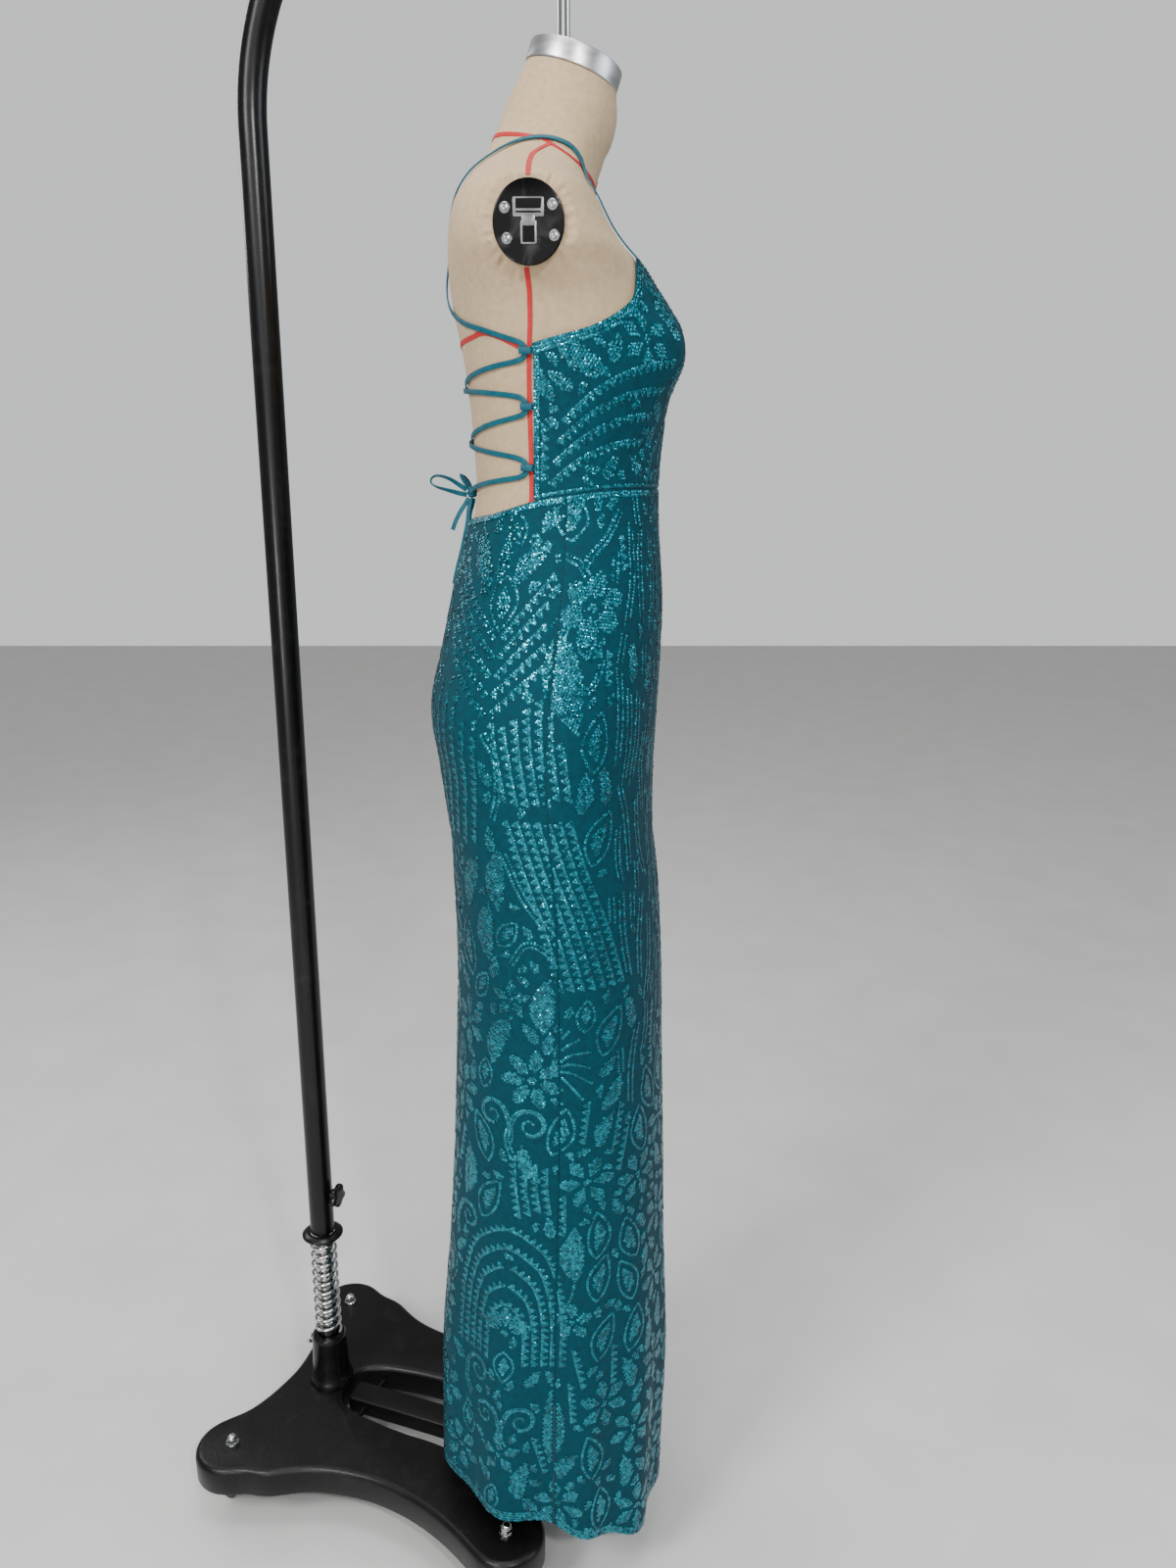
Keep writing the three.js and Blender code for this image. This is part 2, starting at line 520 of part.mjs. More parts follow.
// Outward directions along a cord of the bow: tails lie flat on the skirt, loops stand on edge.
function cordFaces(name, points) {
  const flat = new THREE.Vector3(0, 1, 0.2).normalize();
  const curve = new THREE.CatmullRomCurve3(points, false, 'centripetal');
  if (name.startsWith('bow_tail') || name === 'bow_end_short') return points.map(() => flat);
  const plane = name === 'bow_loop_out' ? new THREE.Vector3(1, 0.1, 0) : new THREE.Vector3(0, 1, 0);
  return points.map((_, i) => new THREE.Vector3()
    .crossVectors(plane, curve.getTangent(i / (points.length - 1))).normalize());
}

function bowKnot() {
  const centre = offFigure(180, BOW.z, BOW.lift);
  const rows = [[-0.5, 0.55], [-0.3, 0.9], [0, 1], [0.3, 0.9], [0.5, 0.55]];
  return loft(rows.map(([up, size]) => ring(10, 0.5, (x, y) => new THREE.Vector3(
    centre.x + x * size * BOW.across * 1.2,
    centre.y + y * size * BOW.deep * 1.2,
    centre.z + up * BOW.high,
  ))));
}

function buildForm() {
  const step = 360 / TORSO_COLUMNS;
  const ringAt = (z) => Array.from({ length: TORSO_COLUMNS }, (_, i) => figurePoint(-i * step, z));
  addMesh(form, 'form_torso', loft(TORSO_RINGS.map(ringAt)), 'canvas');
  for (const side of [1, -1]) {
    const plate = new THREE.CylinderGeometry(0.5, 0.5, ARM.thick, 24);
    plate.scale(ARM.high, 1, ARM.across).rotateZ(Math.PI / 2);
    plate.translate(-side * (ARM.face + GAP + ARM.thick / 2), ARM.y, ARM.z);
    addMesh(form, `arm_plate_${side > 0 ? 'right' : 'left'}`, plate, 'polished');
  }
  const cap = new THREE.CylinderGeometry(CAP.radius, CAP.radius, CAP.high, 36);
  cap.rotateX(Math.PI / 2).translate(0, 0, CAP.high / 2 + GAP).rotateX(CAP.tilt * degrees);
  cap.translate(0, CAP.y, CAP.z);
  const hole = turned(12, [[CAP.z - 30, ROD.radius + 2 * GAP], [CAP.z + 60, ROD.radius + 2 * GAP]]);
  const at = rodPlace();
  hole.translate(at.x, at.y, 0);
  addMesh(form, 'neck_cap', mesh(solid(cap).subtract(solid(hole))), 'brushed');
}

// Place of the hanging rod's axis in the model's frame.
function rodPlace() {
  const place = new THREE.Vector3(POST.fwd + ARM_REACH, 0, 0);
  stand.updateMatrix();
  return place.applyMatrix4(stand.matrix);
}

// Base plate outline: rear notch, rear foot, side, front foot and slot, then mirrored.
function baseOutline() {
  const arc = (foot, [from, to]) => Array.from({ length: FOOT_ARC.steps + 1 }, (_, i) => {
    const angle = (from + (to - from) * i / FOOT_ARC.steps) * degrees;
    return [foot.fwd + BASE.foot * Math.cos(angle), foot.lat + BASE.foot * Math.sin(angle)];
  });
  const half = [
    ...EDGE_REAR, ...arc(FEET[1], FOOT_ARC.rear), ...EDGE_SIDE, ...arc(FEET[3], FOOT_ARC.front), ...EDGE_SLOT,
  ];
  const mirrored = half.slice(1, -1).reverse().map(([fwd, lat]) => [fwd, -lat]);
  return new THREE.Shape([...half, ...mirrored].map(([fwd, lat]) => new THREE.Vector2(fwd, lat)));
}

function buildBase() {
  const plate = new THREE.ExtrudeGeometry(baseOutline(), {
    depth: BASE.top - BASE.bottom - 2 * BASE.bevel,
    bevelThickness: BASE.bevel,
    bevelSize: BASE.bevel,
    bevelOffset: -BASE.bevel,
    bevelSegments: 1,
  });
  plate.translate(0, 0, BASE.bottom + BASE.bevel);
  addMesh(stand, 'base_plate', plate, 'black');
  const bar = new THREE.Shape([
    [PEDAL.from, -PEDAL.half], [PEDAL.to - PEDAL.nose, -PEDAL.half], [PEDAL.to, -PEDAL.noseHalf],
    [PEDAL.to, PEDAL.noseHalf], [PEDAL.to - PEDAL.nose, PEDAL.half], [PEDAL.from, PEDAL.half],
  ].map(([fwd, lat]) => new THREE.Vector2(fwd, lat)));
  const depth = PEDAL.top - PEDAL.bottom;
  const lever = new THREE.ExtrudeGeometry(bar, { depth, bevelEnabled: false }).translate(0, 0, PEDAL.bottom);
  const pin = new THREE.CylinderGeometry(PEDAL.pinRadius, PEDAL.pinRadius, PEDAL.pinLong, 12);
  pin.translate(PEDAL.pin, 0, PEDAL.pinZ);
  addMesh(stand, 'pedal', mesh(solid(lever).add(solid(pin))), 'black');
  addMesh(stand, 'socket', turned(20, [
    [INNER_TUBE.bottom - GAP, SOCKET.bore], [SOCKET.top, SOCKET.bore], [SOCKET.top, SOCKET.neck],
    [BASE.top + SOCKET.rim, SOCKET.shoulder], [BASE.top + GAP, SOCKET.foot],
  ].reverse()), 'black').position.x = POST.fwd;
  const bolt = turned(6, [[0, SET_BOLT.shank], [SET_BOLT.shankLong, SET_BOLT.shank],
    [SET_BOLT.shankLong, SET_BOLT.head], [SET_BOLT.shankLong + SET_BOLT.headLong, SET_BOLT.head]]);
  bolt.rotateY(-Math.PI / 2).translate(POST.fwd - SOCKET.neck - SET_BOLT.sunk, 0, SET_BOLT.z);
  addMesh(stand, 'set_bolt', bolt, 'chrome');
  addMesh(stand, 'inner_tube', turned(12, [[INNER_TUBE.bottom, INNER_TUBE.radius],
    [INNER_TUBE.top, INNER_TUBE.radius]]), 'chrome').position.x = POST.fwd;
  addMesh(stand, 'spring', coilSpring(), 'chrome').position.x = POST.fwd;
}

// Round wire wound up the inner tube.
function coilSpring() {
  const steps = Math.round(SPRING.turns * SPRING.stepsPerTurn);
  const rings = [];
  for (let i = 0; i <= steps; i += 1) {
    const share = i / steps;
    const angle = share * SPRING.turns * Math.PI * 2;
    const z = SPRING.bottom + (SPRING.top - SPRING.bottom) * share;
    rings.push(ring(4, SPRING.wire, (x, y) => new THREE.Vector3(
      (SPRING.radius + x) * Math.cos(angle), (SPRING.radius + x) * Math.sin(angle), z + y,
    )).reverse());
  }
  return loft(rings);
}

// The gallows: a tube with a bore, straight up, round one bend and out over the form.
function gallowsTube() {
  const path = (distance) => {
    const straight = POST.straight - POST.bottom;
    const arc = POST.bend * Math.PI / 2;
    if (distance <= straight) return { fwd: 0, z: POST.bottom + distance, angle: 0 };
    if (distance >= straight + arc) {
      return { fwd: POST.bend + distance - straight - arc, z: POST.straight + POST.bend, angle: Math.PI / 2 };
    }
    const angle = (distance - straight) / POST.bend;
    return {
      fwd: POST.bend * (1 - Math.cos(angle)), z: POST.straight + POST.bend * Math.sin(angle), angle,
    };
  };
  const straight = POST.straight - POST.bottom;
  const arc = POST.bend * Math.PI / 2;
  const total = straight + arc + ARM_REACH + ARM_SPARE - POST.bend;
  const stops = [0, straight, ...Array.from({ length: 12 }, (_, i) => straight + arc * (i + 1) / 12), total];
  const ringAt = (distance, radius) => {
    const at = path(distance);
    return ring(POST.sides, radius, (x, y) => new THREE.Vector3(
      at.fwd + x * Math.cos(at.angle), y, at.z - x * Math.sin(at.angle),
    ));
  };
  const inner = stops.map((distance) => ringAt(distance, POST.bore));
  const outer = stops.map((distance) => ringAt(distance, POST.radius));
  return tubeWall(inner, outer);
}

// A tube with open ends from rings of its bore and rings of its outside.
function tubeWall(inner, outer) {
  const count = inner[0].length;
  const loop = [...inner.slice().reverse(), ...outer];
  const points = loop.flat();
  const faces = [];
  for (let j = 0; j < loop.length; j += 1) {
    const next = (j + 1) % loop.length;
    for (let i = 0; i < count; i += 1) {
      const a = j * count + i;
      const b = j * count + (i + 1) % count;
      const c = next * count + (i + 1) % count;
      const d = next * count + i;
      faces.push([a, b, c], [a, c, d]);
    }
  }
  return geometryFrom(points, faces);
}

function buildGallows() {
  addMesh(stand, 'gallows_tube', gallowsTube(), 'black').position.x = POST.fwd;
  const armHigh = POST.straight + POST.bend;
  const cap = turned(12, [[0, POST.radius], [3, POST.radius], [5, POST.radius - 3]]);
  cap.rotateY(Math.PI / 2).translate(POST.fwd + ARM_REACH + ARM_SPARE + GAP, 0, armHigh);
  addMesh(stand, 'arm_end_cap', cap, 'black');
  const collar = new THREE.LatheGeometry([
    [POST.bore, 0], [COLLAR.radius, 0], [COLLAR.radius, COLLAR.edge], [COLLAR.topRadius, COLLAR.high],
    [POST.bore, COLLAR.high], [POST.bore, 0],
  ].map(([r, z]) => new THREE.Vector2(r, z)), 20);
  collar.rotateX(Math.PI / 2);
  const ringCollar = mesh(solid(collar));
  ringCollar.translate(POST.fwd, 0, COLLAR.bottom);
  addMesh(stand, 'collar', ringCollar, 'black');
  const star = (angle) => KNOB.radius * (1 + KNOB.lobeDeep * Math.cos(KNOB.lobes * angle));
  const knob = loft([
    ring(20, KNOB.stem, upright(0)), ring(20, KNOB.stem, upright(KNOB.stemLong)),
    ring(20, (a) => star(a) * 0.9, upright(KNOB.stemLong + 0.5)), ring(20, star, upright(KNOB.stemLong + 2)),
    ring(20, star, upright(KNOB.high)), ring(20, (a) => star(a) * 0.8, upright(KNOB.high + KNOB.crown)),
  ]);
  knob.rotateY(Math.PI / 2).translate(POST.fwd + POST.radius + GAP, 0, KNOB.z);
  addMesh(stand, 'star_knob', knob, 'black');
  const rod = turned(12, [[ROD.bottom, ROD.radius], [armHigh - POST.radius - GAP, ROD.radius]]);
  const rodMesh = addMesh(stand, 'hanging_rod', rod, 'chrome');
  rodMesh.position.x = POST.fwd + ARM_REACH;
}

// One castor: a fork with its plate and axle, and the wheel on it.
function castor(foot, index) {
  const group = new THREE.Group();
  group.position.set(foot.fwd, foot.lat, 0);
  group.rotation.z = foot.turn * degrees;
  stand.add(group);
  const inside = WHEEL.half + FORK.air;
  const plateLow = FORK.top - FORK.thick;
  const plate = solid(turned(16, [[plateLow, FORK.plate], [FORK.top, FORK.plate]]));
  const axle = new THREE.CylinderGeometry(FORK.axle, FORK.axle, 2 * (inside + FORK.cheek + FORK.axleOut), 12);
  axle.translate(WHEEL.trail, 0, WHEEL.high);
  let fork = plate.add(solid(axle));
  for (const side of [-1, 1]) {
    const cheek = new THREE.Shape([
      [-FORK.wide, plateLow + 0.5], [FORK.wide, plateLow + 0.5],
      [WHEEL.trail + FORK.eye + 1, WHEEL.high + FORK.eye],
      [WHEEL.trail + FORK.eye, WHEEL.high - FORK.eye], [WHEEL.trail - FORK.eye, WHEEL.high - FORK.eye],
      [2 - FORK.wide, FORK.waist],
    ].map(([x, z]) => new THREE.Vector2(x, z)));
    const flat = new THREE.ExtrudeGeometry(cheek, { depth: FORK.cheek, bevelEnabled: false });
    flat.rotateX(Math.PI / 2).translate(0, side > 0 ? inside + FORK.cheek : -inside, 0);
    fork = fork.add(solid(flat));
  }
  addMesh(group, `castor_fork_${index + 1}`, mesh(fork), 'brushed');
  const tread = WHEEL.high / Math.cos(Math.PI / WHEEL.segments);
  const side = TREAD.side * tread;
  const flat = TREAD.flat * WHEEL.half;
  const profile = [
    [WHEEL.bore, -WHEEL.half], [side, -WHEEL.half], [tread, -flat], [tread, flat],
    [side, WHEEL.half], [WHEEL.bore, WHEEL.half], [WHEEL.bore, -WHEEL.half],
  ].map(([r, y]) => new THREE.Vector2(r, y));
  const wheel = new THREE.LatheGeometry(profile, WHEEL.segments).rotateY(Math.PI / WHEEL.segments);
  const round = mesh(solid(wheel));
  round.translate(WHEEL.trail, 0, WHEEL.high);
  addMesh(group, `castor_wheel_${index + 1}`, round, 'tyre');
}

function buildFeet() {
  FEET.forEach((foot, index) => {
    const bolt = turned(10, ACORN);
    bolt.translate(foot.fwd, foot.lat, BASE.top + GAP);
    addMesh(stand, `foot_bolt_${index + 1}`, bolt, 'chrome');
    castor(foot, index);
  });
}

buildGown();
buildForm();
buildBase();
buildGallows();
buildFeet();

// The origin is at the middle of the model's box, on the floor.
model.updateMatrixWorld(true);
const box = new THREE.Box3().setFromObject(model, true);
const centre = box.getCenter(new THREE.Vector3());
model.position.set(-centre.x, -centre.y, -box.min.z);
model.updateMatrixWorld(true);

export default model;
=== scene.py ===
"""Sequinned evening gown with a laced open back, on a limbless dress form hung from a gallows stand.

Lengths are in millimetres in the gown's own axes until a mesh is made. The gown's front faces -Y,
the wearer's right is -X, and a turn of 0 degrees round the body is centre front, 90 the wearer's right.
"""
import json
import logging
import math
from collections.abc import Callable, Sequence
from dataclasses import dataclass, field
from enum import Enum

import bpy
import numpy as np
from mathutils import Matrix, Vector

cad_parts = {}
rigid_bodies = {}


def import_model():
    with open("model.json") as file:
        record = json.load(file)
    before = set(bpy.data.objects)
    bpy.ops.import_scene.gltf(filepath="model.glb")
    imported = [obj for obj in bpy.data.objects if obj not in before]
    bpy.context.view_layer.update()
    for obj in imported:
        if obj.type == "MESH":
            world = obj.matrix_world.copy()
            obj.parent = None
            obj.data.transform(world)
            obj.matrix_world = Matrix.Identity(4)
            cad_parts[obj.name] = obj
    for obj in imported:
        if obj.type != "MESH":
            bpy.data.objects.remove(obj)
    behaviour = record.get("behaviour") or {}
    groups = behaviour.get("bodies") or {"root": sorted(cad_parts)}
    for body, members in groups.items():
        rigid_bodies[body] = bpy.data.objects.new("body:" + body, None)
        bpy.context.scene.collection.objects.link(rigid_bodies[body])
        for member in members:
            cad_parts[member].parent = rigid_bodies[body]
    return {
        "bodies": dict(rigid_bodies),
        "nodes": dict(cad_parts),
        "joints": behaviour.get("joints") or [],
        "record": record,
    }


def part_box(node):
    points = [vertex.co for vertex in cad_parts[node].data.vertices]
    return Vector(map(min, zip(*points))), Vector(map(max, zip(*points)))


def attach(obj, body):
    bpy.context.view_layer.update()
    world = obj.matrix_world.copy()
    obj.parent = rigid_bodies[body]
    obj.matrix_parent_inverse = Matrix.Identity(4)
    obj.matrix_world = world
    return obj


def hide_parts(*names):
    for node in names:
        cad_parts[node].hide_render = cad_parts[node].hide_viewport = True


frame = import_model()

log = logging.getLogger("gown")
Points = np.ndarray
Colour = tuple[float, float, float]
Socket = bpy.types.NodeSocket
Tree = bpy.types.NodeTree
MM = 0.001
SEQUIN_SEED = 20
ARM_DEPTH = 51.0


class Body(str, Enum):
    """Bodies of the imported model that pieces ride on."""

    BASE = "base"
    COLUMN = "column"
    PEDAL = "pedal"


class Side(Enum):
    """Sides of the wearer."""

    RIGHT = 1
    LEFT = -1

    @property
    def word(self) -> str:
        """The side's name in lower case."""
        return self.name.lower()


class Pattern(Enum):
    """What a finish's bump and colour follow."""

    WEAVE = "weave"
    KNIT = "knit"
    BRUSHED = "brushed"
    CAST = "cast"
    SMOOTH = "smooth"


# Shapes as arrays


@dataclass
class Shape:
    """Points in millimetres and faces grouped by their number of corners."""

    points: Points
    faces: list[np.ndarray]

    def volume(self) -> float:
        """Signed volume: positive where the faces point outwards."""
        total = 0.0
        middle = self.points.mean(axis=0)
        for group in self.faces:
            first = self.points[group[:, 0]] - middle
            for k in range(1, group.shape[1] - 1):
                second = self.points[group[:, k]] - middle
                third = self.points[group[:, k + 1]] - middle
                total += float(np.einsum("ij,ij->", first, np.cross(second, third))) / 6
        return total

    def outward(self) -> "Shape":
        """The same closed shape with its faces pointing outwards."""
        if self.volume() < 0:
            self.faces = [group[:, ::-1] for group in self.faces]
        return self

    def moved(self, matrix: Matrix) -> "Shape":
        """The shape carried by a 4x4 matrix.

        Args:
            matrix: the transform.

        Returns:
            A new shape.
        """
        turned = np.array(matrix)
        return Shape(self.points @ turned[:3, :3].T + turned[:3, 3], self.faces).outward()


def joined(shapes: Sequence[Shape]) -> Shape:
    """Several shapes as one.

    Args:
        shapes: the shapes to join.

    Returns:
        One shape that holds all their points and faces.
    """
    starts = np.cumsum([0] + [len(shape.points) for shape in shapes])
    faces = [group + start for shape, start in zip(shapes, starts) for group in shape.faces]
    return Shape(np.concatenate([shape.points for shape in shapes]), faces)


def grid_faces(rows: int, columns: int, wrap_rows: bool = False, wrap_columns: bool = False) -> np.ndarray:
    """Quads of a grid of points: each joins a point, its right neighbour and the two above.

    Args:
        rows: points from one end to the other.
        columns: points across.
        wrap_rows: whether the last row joins the first.
        wrap_columns: whether the last column joins the first.

    Returns:
        Indices of the quads' corners.
    """
    j = np.arange(rows if wrap_rows else rows - 1)[:, None]
    i = np.arange(columns if wrap_columns else columns - 1)[None, :]
    up = (j + 1) % rows
    right = (i + 1) % columns
    corners = [j * columns + i, j * columns + right, up * columns + right, up * columns + i]
    return np.stack(corners, axis=-1).reshape(-1, 4)


def tube(rings: Points) -> Shape:
    """A closed solid through rings of points, with a flat face on each end.

    Args:
        rings: an array of rings by points by 3.

    Returns:
        The solid.
    """
    count, around = rings.shape[:2]
    ends = np.stack([np.arange(around)[::-1], (count - 1) * around + np.arange(around)])
    return Shape(rings.reshape(-1, 3), [grid_faces(count, around, wrap_columns=True), ends]).outward()


def hoop(rings: Points) -> Shape:
    """A closed ring-shaped solid, whose last ring of points joins the first."""
    count, around = rings.shape[:2]
    return Shape(rings.reshape(-1, 3), [grid_faces(count, around, True, True)]).outward()


def circle(count: int, start: float = 0.0) -> np.ndarray:
    """Angles in radians spread evenly round a circle."""
    return start + np.arange(count) * (2 * np.pi / count)


def revolved(profile: Sequence[tuple[float, float]], sides: int) -> Points:
    """Rings about Z: each radius and height of a profile is swept round a circle."""
    radius, height = np.array(profile, float).T
    angle = circle(sides)[None, :]
    return np.stack(np.broadcast_arrays(
        radius[:, None] * np.cos(angle), radius[:, None] * np.sin(angle), height[:, None]), axis=-1)


def lathe(profile: Sequence[tuple[float, float]], sides: int = 48) -> Shape:
    """A solid of revolution about Z, its ends flat, from radii and heights along its outline."""
    return tube(revolved(profile, sides))


def lathe_ring(profile: Sequence[tuple[float, float]], sides: int = 48) -> Shape:
    """A ring of revolution about Z from a closed profile of radius and height."""
    return hoop(revolved(profile, sides))


def slab(outline: Points, low: float, high: float, edge: float, steps: int = 3) -> Shape:
    """A flat plate from a convex outline, its two edges rounded by drawing the outline in.

    Args:
        outline: corners, an array of points by 2, counter-clockwise.
        low: height of the underside.
        high: height of the top.
        edge: radius of the rounded edges.
        steps: rings in each rounding.

    Returns:
        The plate.
    """
    middle = outline.mean(axis=0)
    reach = np.abs(outline - middle).max(axis=0)
    angles = np.linspace(0, np.pi / 2, steps + 1)
    inset = edge * (1 - np.cos(angles))
    rows = [(low + edge - edge * math.sin(a), i) for a, i in zip(angles[::-1], inset[::-1])]
    rows += [(high - edge + edge * math.sin(a), i) for a, i in zip(angles, inset)]
    rings = []
    for z, draw in rows:
        ring = middle + (outline - middle) * (1 - draw / reach)
        rings.append(np.column_stack([ring, np.full(len(ring), z)]))
    return tube(np.array(rings))


def rounded_box(across: float, up: float, corner: float, count: int = 6) -> Points:
    """Outline of a rectangle with round corners, centred, as an array of points by 2."""
    arcs = []
    for k in range(4):
        angle = np.linspace(0, np.pi / 2, count) + k * np.pi / 2
        centre = np.array([(across / 2 - corner) * (1, -1, -1, 1)[k],
                           (up / 2 - corner) * (1, 1, -1, -1)[k]])
        arcs.append(centre + corner * np.column_stack([np.cos(angle), np.sin(angle)]))
    return np.concatenate(arcs)


def cubic_through(x: np.ndarray, y: np.ndarray, at: np.ndarray, uneven: bool = False) -> np.ndarray:
    """Values on a cubic through points, whose slope at a point is that between its neighbours.

    Args:
        x: places of the points, rising.
        y: values there, one row for each point.
        at: places to read.
        uneven: takes each slope from the parabola through three points instead.

    Returns:
        A row of values for each place.
    """
    index = np.arange(len(x))
    after = np.minimum(index + 1, len(x) - 1)
    before = np.maximum(index - 1, 0)
    slope = (y[after] - y[before]) / (x[after] - x[before])[:, None]
    if uneven:
        gap = np.diff(x)[:, None]
        rise = np.diff(y, axis=0) / gap
        slope[1:-1] = (rise[:-1] * gap[1:] + rise[1:] * gap[:-1]) / (gap[:-1] + gap[1:])
    i = np.clip(np.searchsorted(x, at) - 1, 0, len(x) - 2)
    span = (x[i + 1] - x[i])[:, None]
    t = np.clip((at - x[i])[:, None] / span, 0, 1)
    return ((2 * t**3 - 3 * t**2 + 1) * y[i] + (t**3 - 2 * t**2 + t) * span * slope[i]
            + (3 * t**2 - 2 * t**3) * y[i + 1] + (t**3 - t**2) * span * slope[i + 1])


def distances(path: Points) -> np.ndarray:
    """Distance along a line of points to each of them."""
    return np.concatenate([[0], np.cumsum(np.linalg.norm(np.diff(path, axis=0), axis=1))])


def along(route: Points, step: float) -> Points:
    """Points spaced evenly on a smooth curve through a route.

    Args:
        route: points that the curve goes through.
        step: distance between the new points.

    Returns:
        The new points.
    """
    chord = distances(route)
    count = max(int(round(chord[-1] / step)), 2)
    return cubic_through(chord, route, np.linspace(0, chord[-1], count + 1))


def unit(vectors: Points) -> Points:
    """Vectors scaled to a length of 1."""
    return vectors / np.maximum(np.linalg.norm(vectors, axis=-1, keepdims=True), 1e-12)


def tangents(path: Points) -> Points:
    """Directions along a line of points."""
    return unit(np.gradient(path, axis=0))


def laid(route: Points, faces: Points, step: float) -> tuple[Points, Points]:
    """A smooth path through a route, and the way it faces at each of its points.

    Args:
        route: points that the path goes through.
        faces: outward direction at each of them.
        step: distance between the path's points.

    Returns:
        The path's points and their outward directions.
    """
    path = along(route, step)
    chord = distances(route)
    return path, unit(cubic_through(chord, faces, np.linspace(0, chord[-1], len(path))))


def ribbon(path: Points, outward: Points, width: float, thick: float, sides: int = 16,
           square: float = 0.45) -> Shape:
    """A flat tube along a path: its section is a rounded rectangle laid across the path.

    Args:
        path: middle line.
        outward: direction that the flat side faces at each point.
        width: size across.
        thick: size through.
        sides: points round the section.
        square: 1 gives an ellipse and smaller values a squarer section.

    Returns:
        The ribbon.
    """
    forward = tangents(path)
    across = unit(np.cross(forward, outward))
    out = unit(np.cross(across, forward))
    angle = circle(sides, np.pi / sides)
    wide = np.sign(np.cos(angle)) * np.abs(np.cos(angle)) ** square * width / 2
    deep = np.sign(np.sin(angle)) * np.abs(np.sin(angle)) ** square * thick / 2
    rings = path[:, None] + wide[None, :, None] * across[:, None] + deep[None, :, None] * out[:, None]
    return tube(rings)


# The figure under the gown: height, front, back, half width, depth of the widest point,
# squareness of the section and lean of its plane.
FIGURE = np.array([
    (60, -78, 172, 134, 45, 2.1, 0), (160, -83, 175, 134, 45, 2.1, 0), (280, -89, 173, 133, 43, 2.1, 0),
    (424, -86, 162, 131, 40, 2.15, 0), (561, -84.5, 153.5, 134, 36, 2.2, 0),
    (687, -81.5, 148, 140, 34, 2.2, 0),
    (780, -79.5, 144, 147, 34, 2.2, 0), (881, -74, 145, 155, 36, 2.2, 0),
    (940, -67.5, 147.5, 160, 40, 2.2, 0),
    (1016, -67, 157, 164, 44, 2.2, 0), (1060, -69.5, 163.5, 164, 44, 2.2, 0),
    (1090, -71, 162.5, 161, 42, 2.2, 0),
    (1130, -73, 153, 153, 37, 2.2, 0), (1180, -74.5, 141, 143, 31, 2.2, 0),
    (1215, -73, 133, 134, 27, 2.2, 0),
    (1250, -70.5, 123.5, 124, 25, 2.2, 0), (1290, -69, 115.5, 116, 24, 2.2, 0),
    (1328, -70.5, 116, 117, 25, 2.2, 0),
    (1367, -74, 118.5, 122, 27, 2.25, 0), (1404, -75, 122, 129, 30, 2.3, 0),
    (1436, -71, 127, 135, 35, 2.3, 0),
    (1466, -65, 133, 143, 42, 2.3, 0), (1489, -57, 135.5, 157, 48, 2.4, 0),
    (1506, -47, 135.5, 170, 51, 2.55, 0),
    (1522, -33, 135, 174, 51, 2.6, 0), (1542, -21, 133, 173, 51, 2.5, 0), (1558, -14, 130, 166, 51, 2.3, 0),
    (1570, -9, 126.5, 149, 51, 2.05, 0), (1582, -7, 122, 124, 51, 1.9, 0),
    (1592, -9, 117, 101, 51, 1.85, 0),
    (1603, -13, 108, 80, 48, 1.9, 0), (1614, -17, 99, 67, 42, 2, 0), (1630, -23, 89, 58, 34, 2, 5),
    (1655, -28, 76, 51, 24, 2, 11), (1681.5, -27.5, 59.5, 45, 16, 2, 17.8),
])
FIGURE_COLUMNS = ("front", "back", "half", "wide", "round", "lean")

# Edges of the gown's pieces: turn and height
WAIST = np.array([(0, 1300), (60, 1298), (90, 1292), (106, 1287), (135, 1274), (180, 1266)], float)
BODICE_TOP = np.array([
    (0, 1452), (12, 1465), (22, 1489), (28, 1502), (32, 1503), (39, 1490), (50, 1465), (68, 1444),
    (85, 1434),
    (100, 1427)], float)
BODICE_EDGE = np.array([(1280, 106.5), (1317, 106), (1375, 103.5), (1430, 100)], float)
HEM = np.array([
    (-180, 148), (-150, 143), (-116, 131), (-90, 120), (-62, 110), (-40, 99), (-20, 88), (0, 84), (22, 82),
    (44, 76), (58, 92), (74, 106), (95, 124), (116, 129), (150, 142), (180, 148)], float)

# Flare folds of the skirt: turn, half width in degrees and how far the hem swings out
FOLDS = np.array([
    (12, 15, 9), (44, 14, 17), (73, 13, 15), (114, 17, 16), (152, 16, 12), (186, 15, 9), (217, 15, 14),
    (250, 16, 11), (284, 14, 15), (314, 13, 10), (341, 12, 12)], float)

